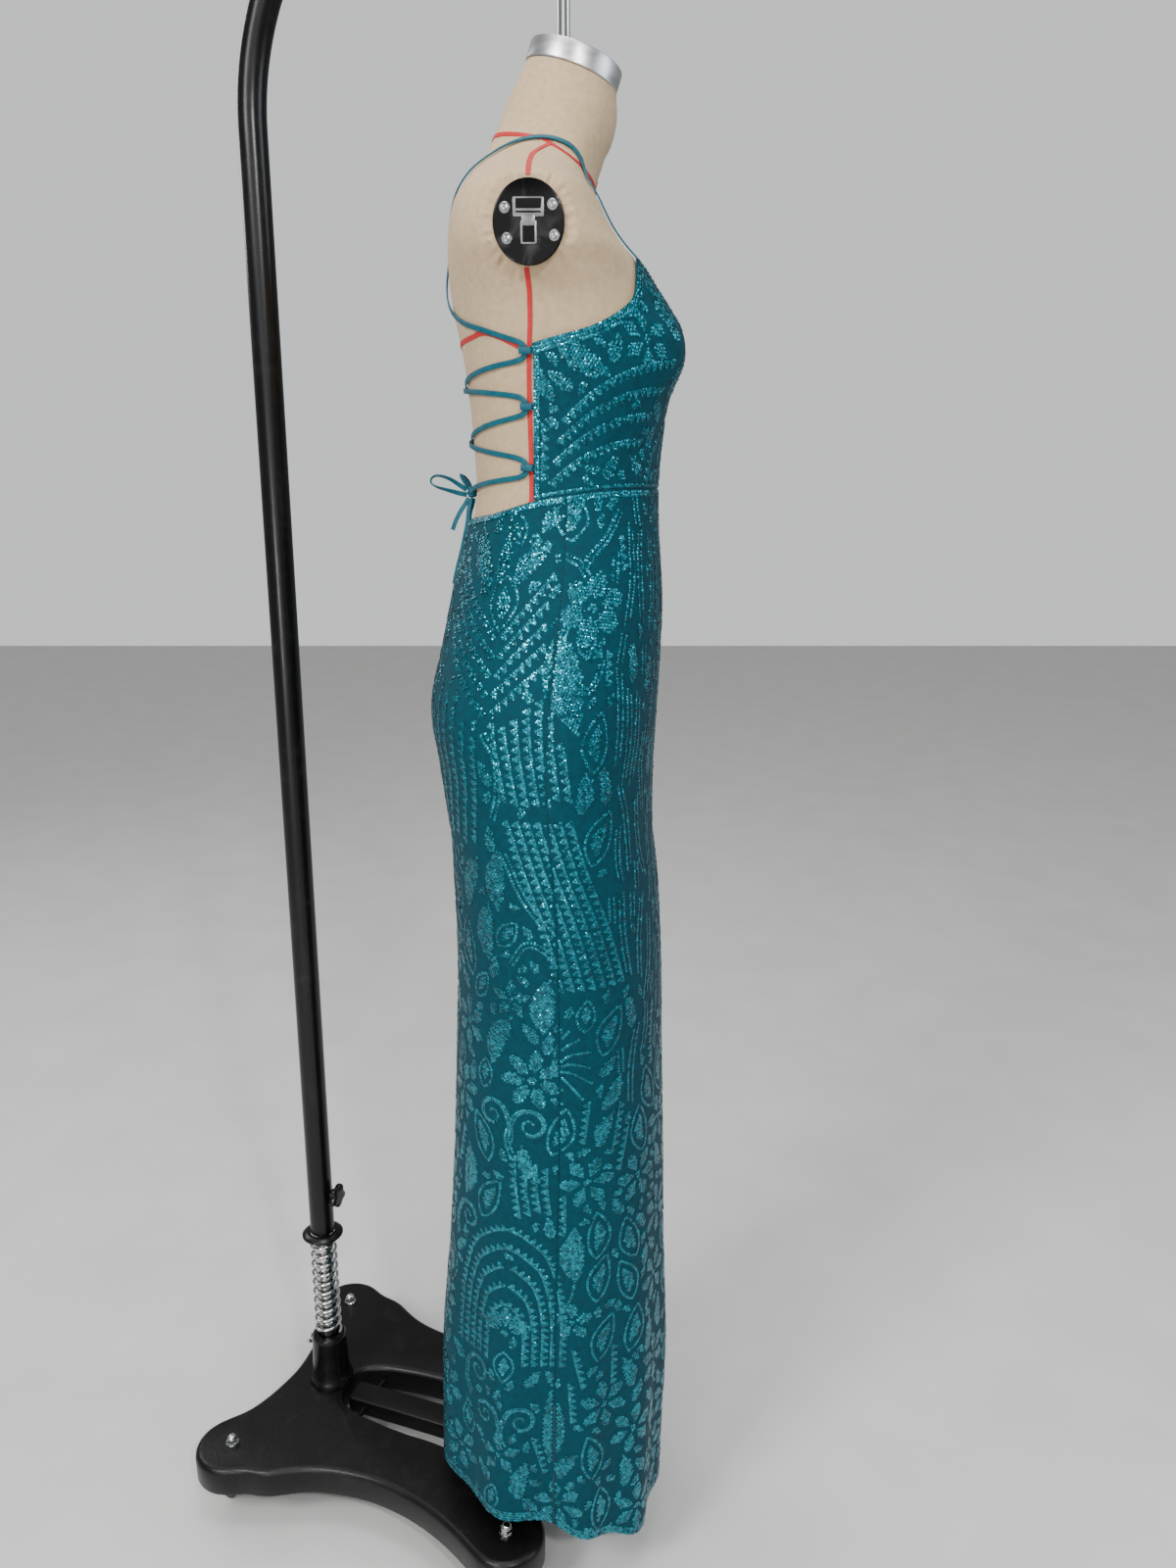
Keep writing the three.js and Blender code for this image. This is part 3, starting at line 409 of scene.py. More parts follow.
# Soft creases pressed into the cloth: turn and height of the middle, half length and half width
# in millimetres, slope in degrees from level, and depth, negative for a ridge
CREASES = np.array([
    (98, 1262, 46, 7, 24, 1.1), (84, 1246, 52, 8, -16, -0.9), (70, 1268, 40, 7, 12, 0.9),
    (118, 1236, 50, 9, 30, -0.9), (60, 1226, 62, 10, -22, 0.8), (104, 1050, 66, 12, -30, 0.9),
    (76, 980, 80, 12, 34, -0.9), (92, 900, 90, 14, -40, 0.8), (50, 1010, 90, 13, -28, 0.9),
    (64, 1336, 44, 6, -30, 0.9), (80, 1362, 40, 6, -38, -0.8), (92, 1330, 34, 6, -20, 0.8),
    (40, 1340, 46, 7, -26, 0.8), (140, 1010, 80, 14, 26, 0.9), (150, 1150, 60, 10, 22, -0.8),
    (160, 930, 90, 14, 20, 0.8), (88, 640, 120, 16, 70, 1.0), (58, 560, 130, 15, 82, -0.9),
    (126, 560, 140, 16, 78, 0.9), (20, 700, 120, 15, 80, 0.8),
    (-96, 1258, 48, 8, -22, 1.0), (-80, 1238, 54, 8, 18, -0.9), (-62, 1264, 42, 7, -14, 0.9),
    (-116, 1232, 52, 9, -28, -0.8), (-100, 1042, 70, 12, 32, 0.9), (-72, 968, 84, 12, -30, -0.9),
    (-54, 1022, 88, 13, 30, 0.8), (-66, 1342, 42, 6, 28, 0.9), (-84, 1356, 38, 6, 34, -0.8),
    (-138, 1004, 84, 13, -24, 0.9), (-90, 620, 124, 16, -72, 0.9), (-128, 540, 136, 16, -80, -0.8),
], float)


class Figure:
    """The body's surface as a function of turn and height, worked out for whole arrays."""

    bust_depth = 31.0
    bust_apart = 76.0
    bust_height = 1433.0
    bust_wide = 44.0
    bust_tall = 46.0
    face = 163.5
    fold_start = 700.0
    fold_end = 84.0
    fold_valley = 7.0
    ease = 2.4
    cloth = 1.6

    def __init__(self) -> None:
        """Reads the sections once at a fine spacing."""
        self.heights = np.arange(FIGURE[0, 0], FIGURE[-1, 0] + 0.5, 0.5)
        values = cubic_through(FIGURE[:, 0], FIGURE[:, 1:], self.heights)
        self.columns = dict(zip(FIGURE_COLUMNS, values.T))

    def read(self, name: str, z: np.ndarray) -> np.ndarray:
        """One column of the sections at some heights."""
        return np.interp(z, self.heights, self.columns[name])

    def point(self, turn: np.ndarray, z: np.ndarray) -> Points:
        """Points of the body: a superellipse at each height, with two round bumps for the bust.

        Args:
            turn: degrees round the body.
            z: heights.

        Returns:
            Points in millimetres.
        """
        turn, z = np.broadcast_arrays(np.asarray(turn, float), np.asarray(z, float))
        face = np.cos(np.radians(turn))
        side = np.sin(np.radians(turn))
        power = self.read("round", z)
        reach = (np.abs(face) ** power + np.abs(side) ** power) ** (-1 / power)
        wide = self.read("wide", z)
        front = self.read("front", z)
        back = self.read("back", z)
        depth = np.where(face > 0, wide - front, back - wide)
        x = np.clip(-self.read("half", z) * side * reach, -self.face, self.face)
        across = (np.abs(x) - self.bust_apart) / self.bust_wide
        up = (z - self.bust_height) / self.bust_tall
        bump = self.bust_depth * np.sqrt(np.maximum(face, 0)) * np.exp(-across**2 - up**2)
        y = wide - depth * face * reach - bump
        lean = np.tan(np.radians(self.read("lean", z)))
        return np.stack([x, y, z + (y - (front + back) / 2) * lean], axis=-1)

    def normal(self, turn: np.ndarray, z: np.ndarray) -> Points:
        """Outward directions of the body's surface, from small steps along it."""
        turn, z = np.broadcast_arrays(np.asarray(turn, float), np.asarray(z, float))
        round_it = self.point(turn + 0.5, z) - self.point(turn - 0.5, z)
        up_it = self.point(turn, z + 1) - self.point(turn, z - 1)
        return unit(np.cross(up_it, round_it))

    def off(self, turn: np.ndarray, z: np.ndarray, distance: np.ndarray | float) -> Points:
        """Points at a distance off the body."""
        distance = np.asarray(distance, float)
        return self.point(turn, z) + self.normal(turn, z) * distance[..., None]

    def fold(self, turn: np.ndarray, z: np.ndarray) -> np.ndarray:
        """How far the skirt's folds carry the cloth out: a soft bump for each, growing to the hem."""
        fall = np.clip((self.fold_start - z) / (self.fold_start - self.fold_end), 0, 1) ** 1.6
        swing = np.full(np.broadcast(turn, z).shape, -self.fold_valley)
        for place, width, out in FOLDS:
            away = ((turn - place + 540) % 360 - 180) / width
            swing = swing + (out + self.fold_valley) * np.exp(-(away**2))
        return swing * fall

    def crease(self, turn: np.ndarray, z: np.ndarray) -> np.ndarray:
        """Depth of the listed creases: each a long soft trough or ridge on its own slope."""
        total = np.zeros(np.broadcast(turn, z).shape)
        for place, height, long, wide, slope, deep in CREASES:
            s = ((turn - place + 540) % 360 - 180) * 2.4
            up = z - height
            c, n = math.cos(math.radians(slope)), math.sin(math.radians(slope))
            total -= deep * np.exp(-((s * c + up * n) / long) ** 2 - ((up * c - s * n) / wide) ** 2)
        return total

    def seam(self, turn: np.ndarray, z: np.ndarray) -> np.ndarray:
        """How far the cloth is drawn in at the side and waist seams, with small puckers along them."""
        side = (np.abs((turn + 180) % 360 - 180) - 88) * 2.45
        up = z - waist_at(turn)
        gather = 0.75 + 0.35 * np.sin(z / 5.3) * np.sin(z / 17.0 + 1)
        below = np.where(up < 0, np.exp(-((side / 3.4) ** 2)) * gather, 0.0)
        ruck = 0.75 + 0.35 * np.sin(turn * 0.61) * np.sin(turn * 0.173 + 2)
        return -0.85 * np.maximum(below, np.exp(-((up / 4.2) ** 2)) * ruck)

    def cloth_at(self, turn: np.ndarray, z: np.ndarray, distance: np.ndarray | float) -> Points:
        """Points of the gown's cloth at a distance off the inner face."""
        turn, z = np.broadcast_arrays(np.asarray(turn, float), np.asarray(z, float))
        swing = self.fold(turn, z) + self.crease(turn, z) + self.seam(turn, z)
        return self.off(turn, z, self.ease + swing + distance)

    def arc(self, turn: np.ndarray, z: np.ndarray) -> np.ndarray:
        """Millimetres of cloth in one degree round the body."""
        step = self.cloth_at(turn + 0.5, z, self.cloth) - self.cloth_at(turn - 0.5, z, self.cloth)
        return np.linalg.norm(step, axis=-1)


FIGURE_SURFACE = Figure()


def edge_at(table: np.ndarray, at: np.ndarray) -> np.ndarray:
    """Reads an edge table of place and value on its cubic."""
    at = np.asarray(at, float)
    return cubic_through(table[:, 0], table[:, 1:], at.ravel())[:, 0].reshape(at.shape)


def waist_at(turn: np.ndarray) -> np.ndarray:
    """Height of the waist seam and of the skirt's back edge."""
    turn = np.asarray(turn, float)
    return edge_at(WAIST, np.abs(np.where(turn > 180, 360 - turn, turn)))


def hem_at(turn: np.ndarray) -> np.ndarray:
    """Height of the hem."""
    turn = np.asarray(turn, float)
    return edge_at(HEM, (turn + 180) % 360 - 180)


def panel(across: int, up: int, place: Callable[[np.ndarray, np.ndarray, float], Points]) -> Shape:
    """A closed panel of cloth: an inner and an outer sheet joined round their four edges.

    Args:
        across: cells across.
        up: cells up.
        place: gives points for u and v from 0 to 1 and for layer 0, the inside, or 1, the outside.

    Returns:
        The panel.
    """
    u = np.linspace(0, 1, across + 1)[None, :]
    v = np.linspace(0, 1, up + 1)[:, None]
    sheets = [np.broadcast_to(place(u, v, layer), (up + 1, across + 1, 3)) for layer in (0.0, 1.0)]
    size = (up + 1) * (across + 1)
    ids = np.arange(size).reshape(up + 1, across + 1)
    quads = grid_faces(up + 1, across + 1)
    rim = np.concatenate([ids[0, :-1], ids[:-1, -1], ids[-1, :0:-1], ids[:0:-1, 0]])
    after = np.roll(rim, -1)
    sides = np.stack([rim, after, after + size, rim + size], axis=-1)
    points = np.concatenate([sheet.reshape(-1, 3) for sheet in sheets])
    return Shape(points, [quads[:, ::-1], quads + size, sides]).outward()


# Finishes


def new_group(name: str, inputs: dict[str, tuple[str, float]], outputs: dict[str, str]) -> Tree:
    """Starts a shader node group with named sockets.

    Args:
        name: the group's name.
        inputs: socket type and default value for each input's name.
        outputs: socket type for each output's name.

    Returns:
        The group, with its input and output nodes in it.
    """
    group = bpy.data.node_groups.new(name, "ShaderNodeTree")
    for label, (kind, value) in inputs.items():
        socket = group.interface.new_socket(label, in_out="INPUT", socket_type=kind)
        if kind == "NodeSocketFloat":
            socket.default_value = value
    for label, kind in outputs.items():
        group.interface.new_socket(label, in_out="OUTPUT", socket_type=kind)
    group.nodes.new("NodeGroupInput")
    group.nodes.new("NodeGroupOutput")
    return group


def add_node(tree: Tree, kind: str, inputs: dict[str, object], **settings: object) -> bpy.types.Node:
    """Adds a shader node.

    Args:
        tree: the tree it goes into.
        kind: the node's type.
        inputs: for each input's name, a value to set or a socket to link from.
        settings: properties to set before the inputs.

    Returns:
        The node.
    """
    node = tree.nodes.new(kind)
    for name, value in settings.items():
        setattr(node, name, value)
    for name, value in inputs.items():
        if isinstance(value, Socket):
            tree.links.new(value, node.inputs[name])
        else:
            node.inputs[name].default_value = value
    return node


class Effects:
    """Shader node groups that several finishes share, each built once."""

    def __init__(self) -> None:
        """Builds the groups."""
        self.weave = self.build_weave()
        self.grain = self.build_grain()
        self.scuffs = self.build_scuffs()

    @staticmethod
    def math(tree: Tree, operation: str, *values: object) -> Socket:
        """Adds a math node fed by sockets or numbers and returns its output."""
        node = tree.nodes.new("ShaderNodeMath")
        node.operation = operation
        for socket, value in zip(node.inputs, values):
            if isinstance(value, Socket):
                tree.links.new(value, socket)
            else:
                socket.default_value = value
        return node.outputs[0]

    def build_weave(self) -> Tree:
        """Fine crossed threads: two families of ridges whose larger is the height, unevened by noise."""
        tree = new_group("Crossed threads", {
            "Coordinate": ("NodeSocketVector", 0.0), "Threads": ("NodeSocketFloat", 1200.0),
            "Unevenness": ("NodeSocketFloat", 0.4)},
            {"Height": "NodeSocketFloat", "Tone": "NodeSocketFloat"})
        source, sink = tree.nodes[0].outputs, tree.nodes[1].inputs
        ridges = [add_node(tree, "ShaderNodeTexWave", {
            "Distortion": 0.6, "Vector": source["Coordinate"], "Scale": source["Threads"],
        }, bands_direction=direction).outputs["Fac"] for direction in ("X", "Z")]
        noise = add_node(tree, "ShaderNodeTexNoise", {
            "Scale": 160, "Detail": 4, "Vector": source["Coordinate"]}).outputs["Fac"]
        uneven = self.math(tree, "MULTIPLY", noise, source["Unevenness"])
        height = self.math(tree, "ADD", self.math(tree, "MAXIMUM", *ridges), uneven)
        tree.links.new(height, sink["Height"])
        tree.links.new(noise, sink["Tone"])
        return tree

    def build_grain(self) -> Tree:
        """Cloudy tone at a large scale and a fine grain for the height."""
        tree = new_group("Grain", {
            "Coordinate": ("NodeSocketVector", 0.0), "Coarse": ("NodeSocketFloat", 8.0),
            "Fine": ("NodeSocketFloat", 400.0)}, {"Height": "NodeSocketFloat", "Tone": "NodeSocketFloat"})
        source, sink = tree.nodes[0].outputs, tree.nodes[1].inputs
        for scale, detail, target in (("Coarse", 5, "Tone"), ("Fine", 6, "Height")):
            noise = add_node(tree, "ShaderNodeTexNoise", {
                "Detail": detail, "Vector": source["Coordinate"], "Scale": source[scale]})
            tree.links.new(noise.outputs["Fac"], sink[target])
        return tree

    def build_scuffs(self) -> Tree:
        """A sparse mask of rubs and dust: the peaks of a stretched noise."""
        tree = new_group("Scuffs", {
            "Coordinate": ("NodeSocketVector", 0.0), "Scale": ("NodeSocketFloat", 30.0),
            "Amount": ("NodeSocketFloat", 0.4)}, {"Mask": "NodeSocketFloat"})
        source, sink = tree.nodes[0].outputs, tree.nodes[1].inputs
        noise = add_node(tree, "ShaderNodeTexNoise", {
            "Detail": 8, "Distortion": 1.2, "Vector": source["Coordinate"], "Scale": source["Scale"]})
        over = self.math(tree, "SUBTRACT", noise.outputs["Fac"], 0.55)
        scaled = self.math(tree, "MULTIPLY", over, 6.0)
        capped = self.math(tree, "MINIMUM", self.math(tree, "MAXIMUM", scaled, 0.0), 1.0)
        tree.links.new(self.math(tree, "MULTIPLY", capped, source["Amount"]), sink["Mask"])
        return tree


@dataclass(frozen=True)
class Finish:
    """How one kind of surface looks."""

    name: str
    colour: Colour
    shade: Colour
    roughness: float
    pattern: Pattern = Pattern.SMOOTH
    metallic: float = 0.0
    rough_spread: float = 0.1
    fine: float = 400.0
    bump: float = 0.1
    coat: float = 0.0
    sheen: float = 0.0
    wear: float = 0.0
    wear_colour: Colour = (0.4, 0.4, 0.38)
    specular: float = 0.5
    tinted: bool = False

    def make(self, effects: Effects) -> bpy.types.Material:
        """Builds the material.

        Args:
            effects: the shared node groups.

        Returns:
            The material, with its patterns on Object coordinates.
        """
        material = bpy.data.materials.new(self.name)
        material.use_nodes = True
        tree = material.node_tree
        shader = tree.nodes["Principled BSDF"]
        for name, value in (("Metallic", self.metallic), ("Coat Weight", self.coat),
                            ("Coat Roughness", 0.08),
                            ("Sheen Weight", self.sheen), ("Sheen Roughness", 0.4),
                            ("Specular IOR Level", self.specular)):
            shader.inputs[name].default_value = value
        coordinate = tree.nodes.new("ShaderNodeTexCoord").outputs["Object"]
        if self.pattern is Pattern.BRUSHED:
            coordinate = add_node(tree, "ShaderNodeMapping", {
                "Scale": (1, 1, 60), "Vector": coordinate}).outputs["Vector"]
        height, tone = self.pattern_sockets(tree, effects, coordinate)
        colour = self.mixed(tree, (*self.shade, 1), (*self.colour, 1),
                            self.ranged(tree, tone, 0, 1, 0.3, 0.7))
        if self.tinted:
            colour = self.tint(tree, colour)
        rough = self.ranged(tree, tone, max(self.roughness - self.rough_spread, 0.03),
                            min(self.roughness + self.rough_spread, 1.0))
        if self.wear > 0:
            scuffs = add_node(tree, "ShaderNodeGroup", {"Amount": self.wear, "Coordinate": coordinate},
                              node_tree=effects.scuffs)
            colour = self.mixed(tree, colour, (*self.wear_colour, 1), scuffs.outputs["Mask"])
        bump = add_node(tree, "ShaderNodeBump",
                        {"Strength": self.bump, "Distance": 0.0006, "Height": height})
        tree.links.new(colour, shader.inputs["Base Color"])
        tree.links.new(rough, shader.inputs["Roughness"])
        tree.links.new(bump.outputs["Normal"], shader.inputs["Normal"])
        return material

    def pattern_sockets(self, tree: Tree, effects: Effects, coordinate: Socket) -> tuple[Socket, Socket]:
        """Places the group that this finish's pattern uses and returns its height and tone."""
        if self.pattern in (Pattern.WEAVE, Pattern.KNIT):
            group = effects.weave
            inputs = {"Threads": self.fine, "Unevenness": 0.8 if self.pattern is Pattern.WEAVE else 1.6}
        else:
            group = effects.grain
            inputs = {"Fine": self.fine, "Coarse": 14 if self.pattern is Pattern.CAST else 6}
        node = add_node(tree, "ShaderNodeGroup", {"Coordinate": coordinate}, node_tree=group)
        for name, value in inputs.items():
            node.inputs[name].default_value = value
        return node.outputs["Height"], node.outputs["Tone"]

    @staticmethod
    def mixed(tree: Tree, first: object, second: object, share: Socket) -> Socket:
        """A colour between two, each a value or a socket."""
        return add_node(tree, "ShaderNodeMix", {"A": first, "B": second, "Factor": share},
                        data_type="RGBA").outputs["Result"]

    @staticmethod
    def ranged(tree: Tree, value: Socket, low: float, high: float, start: float = 0,
               end: float = 1) -> Socket:
        """A value carried evenly from one range to another."""
        return add_node(tree, "ShaderNodeMapRange", {
            "From Min": start, "From Max": end, "To Min": low, "To Max": high,
            "Value": value}).outputs["Result"]

    def tint(self, tree: Tree, colour: Socket) -> Socket:
        """Varies the colour by the mesh's own tint attribute."""
        attribute = add_node(tree, "ShaderNodeAttribute", {}, attribute_name="tint").outputs["Fac"]
        scale = add_node(tree, "ShaderNodeVectorMath", {"Scale": self.ranged(tree, attribute, 0.5, 1.4)},
                         operation="SCALE")
        tree.links.new(colour, scale.inputs[0])
        return scale.outputs["Vector"]


MESH_CLOTH = Finish("Teal stretch mesh", (0.0012, 0.043, 0.062), (0.0008, 0.029, 0.043), 0.75, Pattern.KNIT,
                    fine=520, bump=0.22, sheen=0.02, specular=0.12)
SEQUIN = Finish("Teal sequins", (0.003, 0.185, 0.24), (0.002, 0.115, 0.16), 0.23, Pattern.SMOOTH,
                metallic=0.75,
                rough_spread=0.05, bump=0.02, coat=0.22, tinted=True)
LACE_SATIN = Finish("Teal satin tube", (0.0015, 0.088, 0.125), (0.001, 0.055, 0.08), 0.5, Pattern.WEAVE,
                    fine=900, bump=0.2, sheen=0.03, specular=0.25)
CANVAS = Finish("Cream canvas", (0.47, 0.345, 0.215), (0.40, 0.288, 0.172), 0.88, Pattern.WEAVE, fine=640,
                bump=0.35,
                sheen=0.1, specular=0.2)
RED_TAPE = Finish("Red style tape", (0.46, 0.010, 0.012), (0.36, 0.007, 0.009), 0.5, Pattern.WEAVE,
                  fine=1400,
                  bump=0.3, specular=0.3)
BLACK_NICKEL = Finish("Polished black nickel", (0.016, 0.015, 0.0155), (0.010, 0.0095, 0.010), 0.14,
                      metallic=0.95,
                      rough_spread=0.08, bump=0.02, wear=0.08)
LATCH_STEEL = Finish("Worn latch steel", (0.17, 0.165, 0.17), (0.09, 0.088, 0.09), 0.34, metallic=1.0,
                     bump=0.05,
                     wear=0.2, wear_colour=(0.4, 0.4, 0.4))
SCREW = Finish("Bright screw", (0.26, 0.26, 0.265), (0.18, 0.18, 0.185), 0.3, metallic=1.0, bump=0.03)
# Near-black matte patches laid over the latch: painted shade standing for the dark inside of its slot and
# recesses.
PAINTED_RECESS_SHADE = Finish("Painted recess shade", (0.008, 0.0075, 0.0075), (0.004, 0.004, 0.004), 0.8, specular=0.08)
ALUMINIUM = Finish("Brushed aluminium", (0.66, 0.66, 0.67), (0.54, 0.54, 0.55), 0.34, Pattern.BRUSHED,
                   metallic=1.0,
                   rough_spread=0.12, bump=0.12)
SATIN_BLACK = Finish("Satin black powder coat", (0.0036, 0.0033, 0.0034), (0.0026, 0.0024, 0.0024), 0.26,
                     Pattern.SMOOTH, fine=900, bump=0.04, wear=0.012, rough_spread=0.04, specular=0.27)
CAST_BLACK = Finish("Painted casting", (0.0038, 0.0035, 0.0035), (0.0026, 0.0024, 0.0024), 0.36,
                    Pattern.CAST,
                    fine=260, bump=0.4, wear=0.03, rough_spread=0.07, wear_colour=(0.12, 0.115, 0.11),
                    specular=0.24)
CHROME = Finish("Chrome plate", (0.66, 0.66, 0.66), (0.54, 0.54, 0.54), 0.12, metallic=1.0, bump=0.02,
                rough_spread=0.06, wear=0.08, wear_colour=(0.2, 0.19, 0.18))
ZINC = Finish("Zinc plated pressing", (0.6, 0.6, 0.6), (0.46, 0.46, 0.46), 0.34, metallic=0.9, bump=0.08)
GREY_PLASTIC = Finish("Grey hub", (0.30, 0.31, 0.33), (0.24, 0.25, 0.27), 0.5, bump=0.1, wear=0.2)
TYRE = Finish("Black tyre", (0.02, 0.02, 0.02), (0.013, 0.013, 0.013), 0.6, Pattern.CAST, fine=500,
              bump=0.25,
              wear=0.3, wear_colour=(0.2, 0.19, 0.18))


class Workshop:
    """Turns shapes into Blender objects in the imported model's frame, and dresses them."""

    def __init__(self) -> None:
        """Finds where the gown's own axes lie in the frame, from the two arm plates."""
        right_low, right_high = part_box("arm_plate_right")
        left_low, left_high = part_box("arm_plate_left")
        middle_x = (right_low[0] + left_high[0]) / 2
        middle_y = (right_low[1] + right_high[1]) / 2
        self.shift = np.array([middle_x / MM, middle_y / MM - ARM_DEPTH, 0.0])
        self.effects = Effects()
        self.made: dict[str, bpy.types.Material] = {}
        self.count = 0

    def place(self, points: Points) -> Points:
        """Points in metres in the frame from millimetres in the gown's axes."""
        return (points + self.shift) * MM

    def material(self, finish: Finish) -> bpy.types.Material:
        """The material of a finish, built the first time."""
        if finish.name not in self.made:
            self.made[finish.name] = finish.make(self.effects)
        return self.made[finish.name]

    def piece(self, name: str, shape: Shape, finish: Finish, body: str, slot: str,
              replaces: Sequence[str] = (), sharp: float = 38.0) -> bpy.types.Object:
        """Makes an object of a shape, gives it its finish and sets it on its body.

        Args:
            name: the piece's name.
            shape: its shape in millimetres.
            finish: its finish.
            body: the body that it rides on.
            slot: the record's material slot; not used.
            replaces: CAD nodes that it stands for.
            sharp: edges above this angle in degrees stay sharp.

        Returns:
            The object.
        """
        mesh = bpy.data.meshes.new(name)
        mesh.vertices.add(len(shape.points))
        mesh.vertices.foreach_set("co", self.place(shape.points).astype(np.float32).ravel())
        corners = np.concatenate([group.ravel() for group in shape.faces]).astype(np.int32)
        sizes = np.concatenate([np.full(len(group), group.shape[1]) for group in shape.faces])
        mesh.loops.add(len(corners))
        mesh.loops.foreach_set("vertex_index", corners)
        mesh.polygons.add(len(sizes))
        mesh.polygons.foreach_set("loop_start", (np.cumsum(sizes) - sizes).astype(np.int32))
        mesh.update(calc_edges=True)
        mesh.polygons.foreach_set("use_smooth", np.ones(len(sizes), bool))
        mesh.set_sharp_from_angle(angle=math.radians(sharp))
        mesh.materials.append(self.material(finish))
        item = bpy.data.objects.new(name, mesh)
        bpy.context.scene.collection.objects.link(item)
        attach(item, body)
        if replaces:
            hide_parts(*replaces)
        self.count += 1
        log.info("%s: %d points, %d faces on %s", name, len(shape.points), len(sizes), body)
        return item


# Lacing


@dataclass
class Lacing:
    """The two strap laces, the folded tabs they run through and the bow."""

    shop: Workshop
    width: float = 5.0
    thick: float = 1.6
    step: float = 2.2
    tab_length: float = 13.0
    tab_depth: float = 5.4
    tab_wall: float = 1.1
    tab_height: float = 6.0
    tab_lift: float = 3.4
    tab_heights: tuple[float, ...] = (1421.0, 1373.0, 1318.0)
    gap: float = 0.4
    run_stops: int = 8
    run_lift: float = 2.0
    run_over: float = 3.0
    over_width: float = 18.0
    run_start: float = 20.0
    run_drop: float = 10.0
    bow_height: float = 1296.0
    bow_lift: float = 6.0
    bow_side: float = 2.95
    bow_lift_in: float = 5.4
    bow_rise: float = 1.5
    bow_stops: int = 5
    knot: tuple[float, float, float] = (10.0, 9.0, 11.0)
    route: np.ndarray = field(default_factory=lambda: np.array([
        (-29.6, 1504.3, 3.2), (-28.6, 1517, 2.4), (-27.4, 1532, 2), (-26.6, 1546, 2), (-27.5, 1560, 2),
        (-30.5, 1573, 2), (-36, 1585, 2), (-45, 1596, 2.1), (-60, 1605, 2.2), (-78, 1610, 2.2),
        (-95, 1611, 2.2),
        (-112, 1607, 2.2), (-127, 1598, 2.1), (-146, 1585, 2), (-160, 1570, 1.9), (-169, 1550, 1.8),
        (-175, 1529, 1.8), (-180, 1508, 1.8), (-185.5, 1490, 1.8), (-193.6, 1474, 1.8), (-204, 1461, 1.8),
        (-216.5, 1450, 1.8), (-231, 1441, 2.1)]))
    tab_turn: tuple[tuple[float, float, float], ...] = ((0.7, 3.2, 3.4), (4, 6.6, 2.8), (10.5, 9, 2.1))

    bow_routes = {
        "bow_loop_out": [
            (-2.3, 126.5, 1298.4), (-4.6, 134, 1303.4), (-6.4, 142, 1308.6), (-7.6, 151, 1312),
            (-8.4, 158, 1312.4), (-9, 162.2, 1309.6), (-9, 162.4, 1305), (-8.5, 157, 1301.4),
            (-7.5, 149, 1299), (-6, 141, 1296.8), (-4.4, 133.6, 1294.8), (-2.3, 126.3, 1293.4)],
        "bow_loop_side": [
            (3.3, 125.4, 1300.4), (7, 129.5, 1306.5), (12, 132.2, 1311), (18, 133.4, 1313.8),
            (24, 132, 1312.8), (27.6, 128.8, 1308), (26.4, 126, 1302), (21, 124.8, 1297),
            (14, 123.8, 1293.8), (9.6, 122.8, 1291.8), (6, 122.4, 1291.3)],
        "bow_end_short": [
            (0, 125, 1289.9), (0.2, 128, 1285), (0.8, 132.6, 1278.5), (1.2, 136.6, 1272), (1.5, 140, 1265),
            (1.8, 142.8, 1257.5)],
        "bow_tail_near": [
            (-1, 122.8, 1289.9), (-1.2, 123, 1287.4), (-2.8, 123.8, 1283), (-5, 124.8, 1277.5),
            (-7, 125.3, 1271), (-8, 126, 1264.5), (-8.4, 128.6, 1253), (-8.3, 131.4, 1241),
            (-7.8, 134.2, 1231), (-7.4, 137.1, 1221), (-7.6, 139.6, 1211), (-8.4, 141.6, 1202)],
        "bow_tail_far": [
            (1, 119.9, 1289.9), (1.2, 120.1, 1287.4), (3, 121.6, 1283), (5.6, 123.8, 1277),
            (7.4, 125.2, 1270.5), (8, 126.2, 1263.5), (7.8, 128.9, 1251), (7.2, 131.5, 1241),
            (7, 134.2, 1231), (7.6, 137.1, 1221), (8.4, 139.6, 1211), (9, 141.9, 1201), (9.2, 144.1, 1191),
            (8.8, 146.3, 1181), (8.4, 148.6, 1171), (8, 150.6, 1163)],
    }

    def behind_edge(self, z: float, distance: float) -> float:
        """Turn of a place at a distance behind a bodice edge."""
        edge = float(edge_at(BODICE_EDGE, np.array([z]))[0])
        step = FIGURE_SURFACE.point(edge + 2, z) - FIGURE_SURFACE.point(edge, z)
        return edge + distance / (float(np.linalg.norm(step)) / 2)

    def crossing(self, turn: float) -> float:
        """Extra lift where one lace passes over the other at centre back."""
        away = turn % 360 - 180
        return self.run_over * math.exp(-((away / self.over_width) ** 2))

    def tab_middle(self) -> float:
        """Distance of a tab's middle behind the bodice edge."""
        return self.tab_length / 2 + self.gap

    def tab_rows(self, side: int, z: float) -> list[tuple[float, float, float]]:
        """The lace's rows round one tab: in from above, down through the hole, out below."""

        def row(away: float, drop: float, lift: float) -> tuple[float, float, float]:
            return (side * self.behind_edge(z, self.tab_middle() + away), z + drop, lift)

        above = [row(away, drop, lift) for away, drop, lift in reversed(self.tab_turn)]
        below = [row(away, -drop, lift) for away, drop, lift in self.tab_turn]
        return above + [row(0, 0, self.tab_lift)] + below

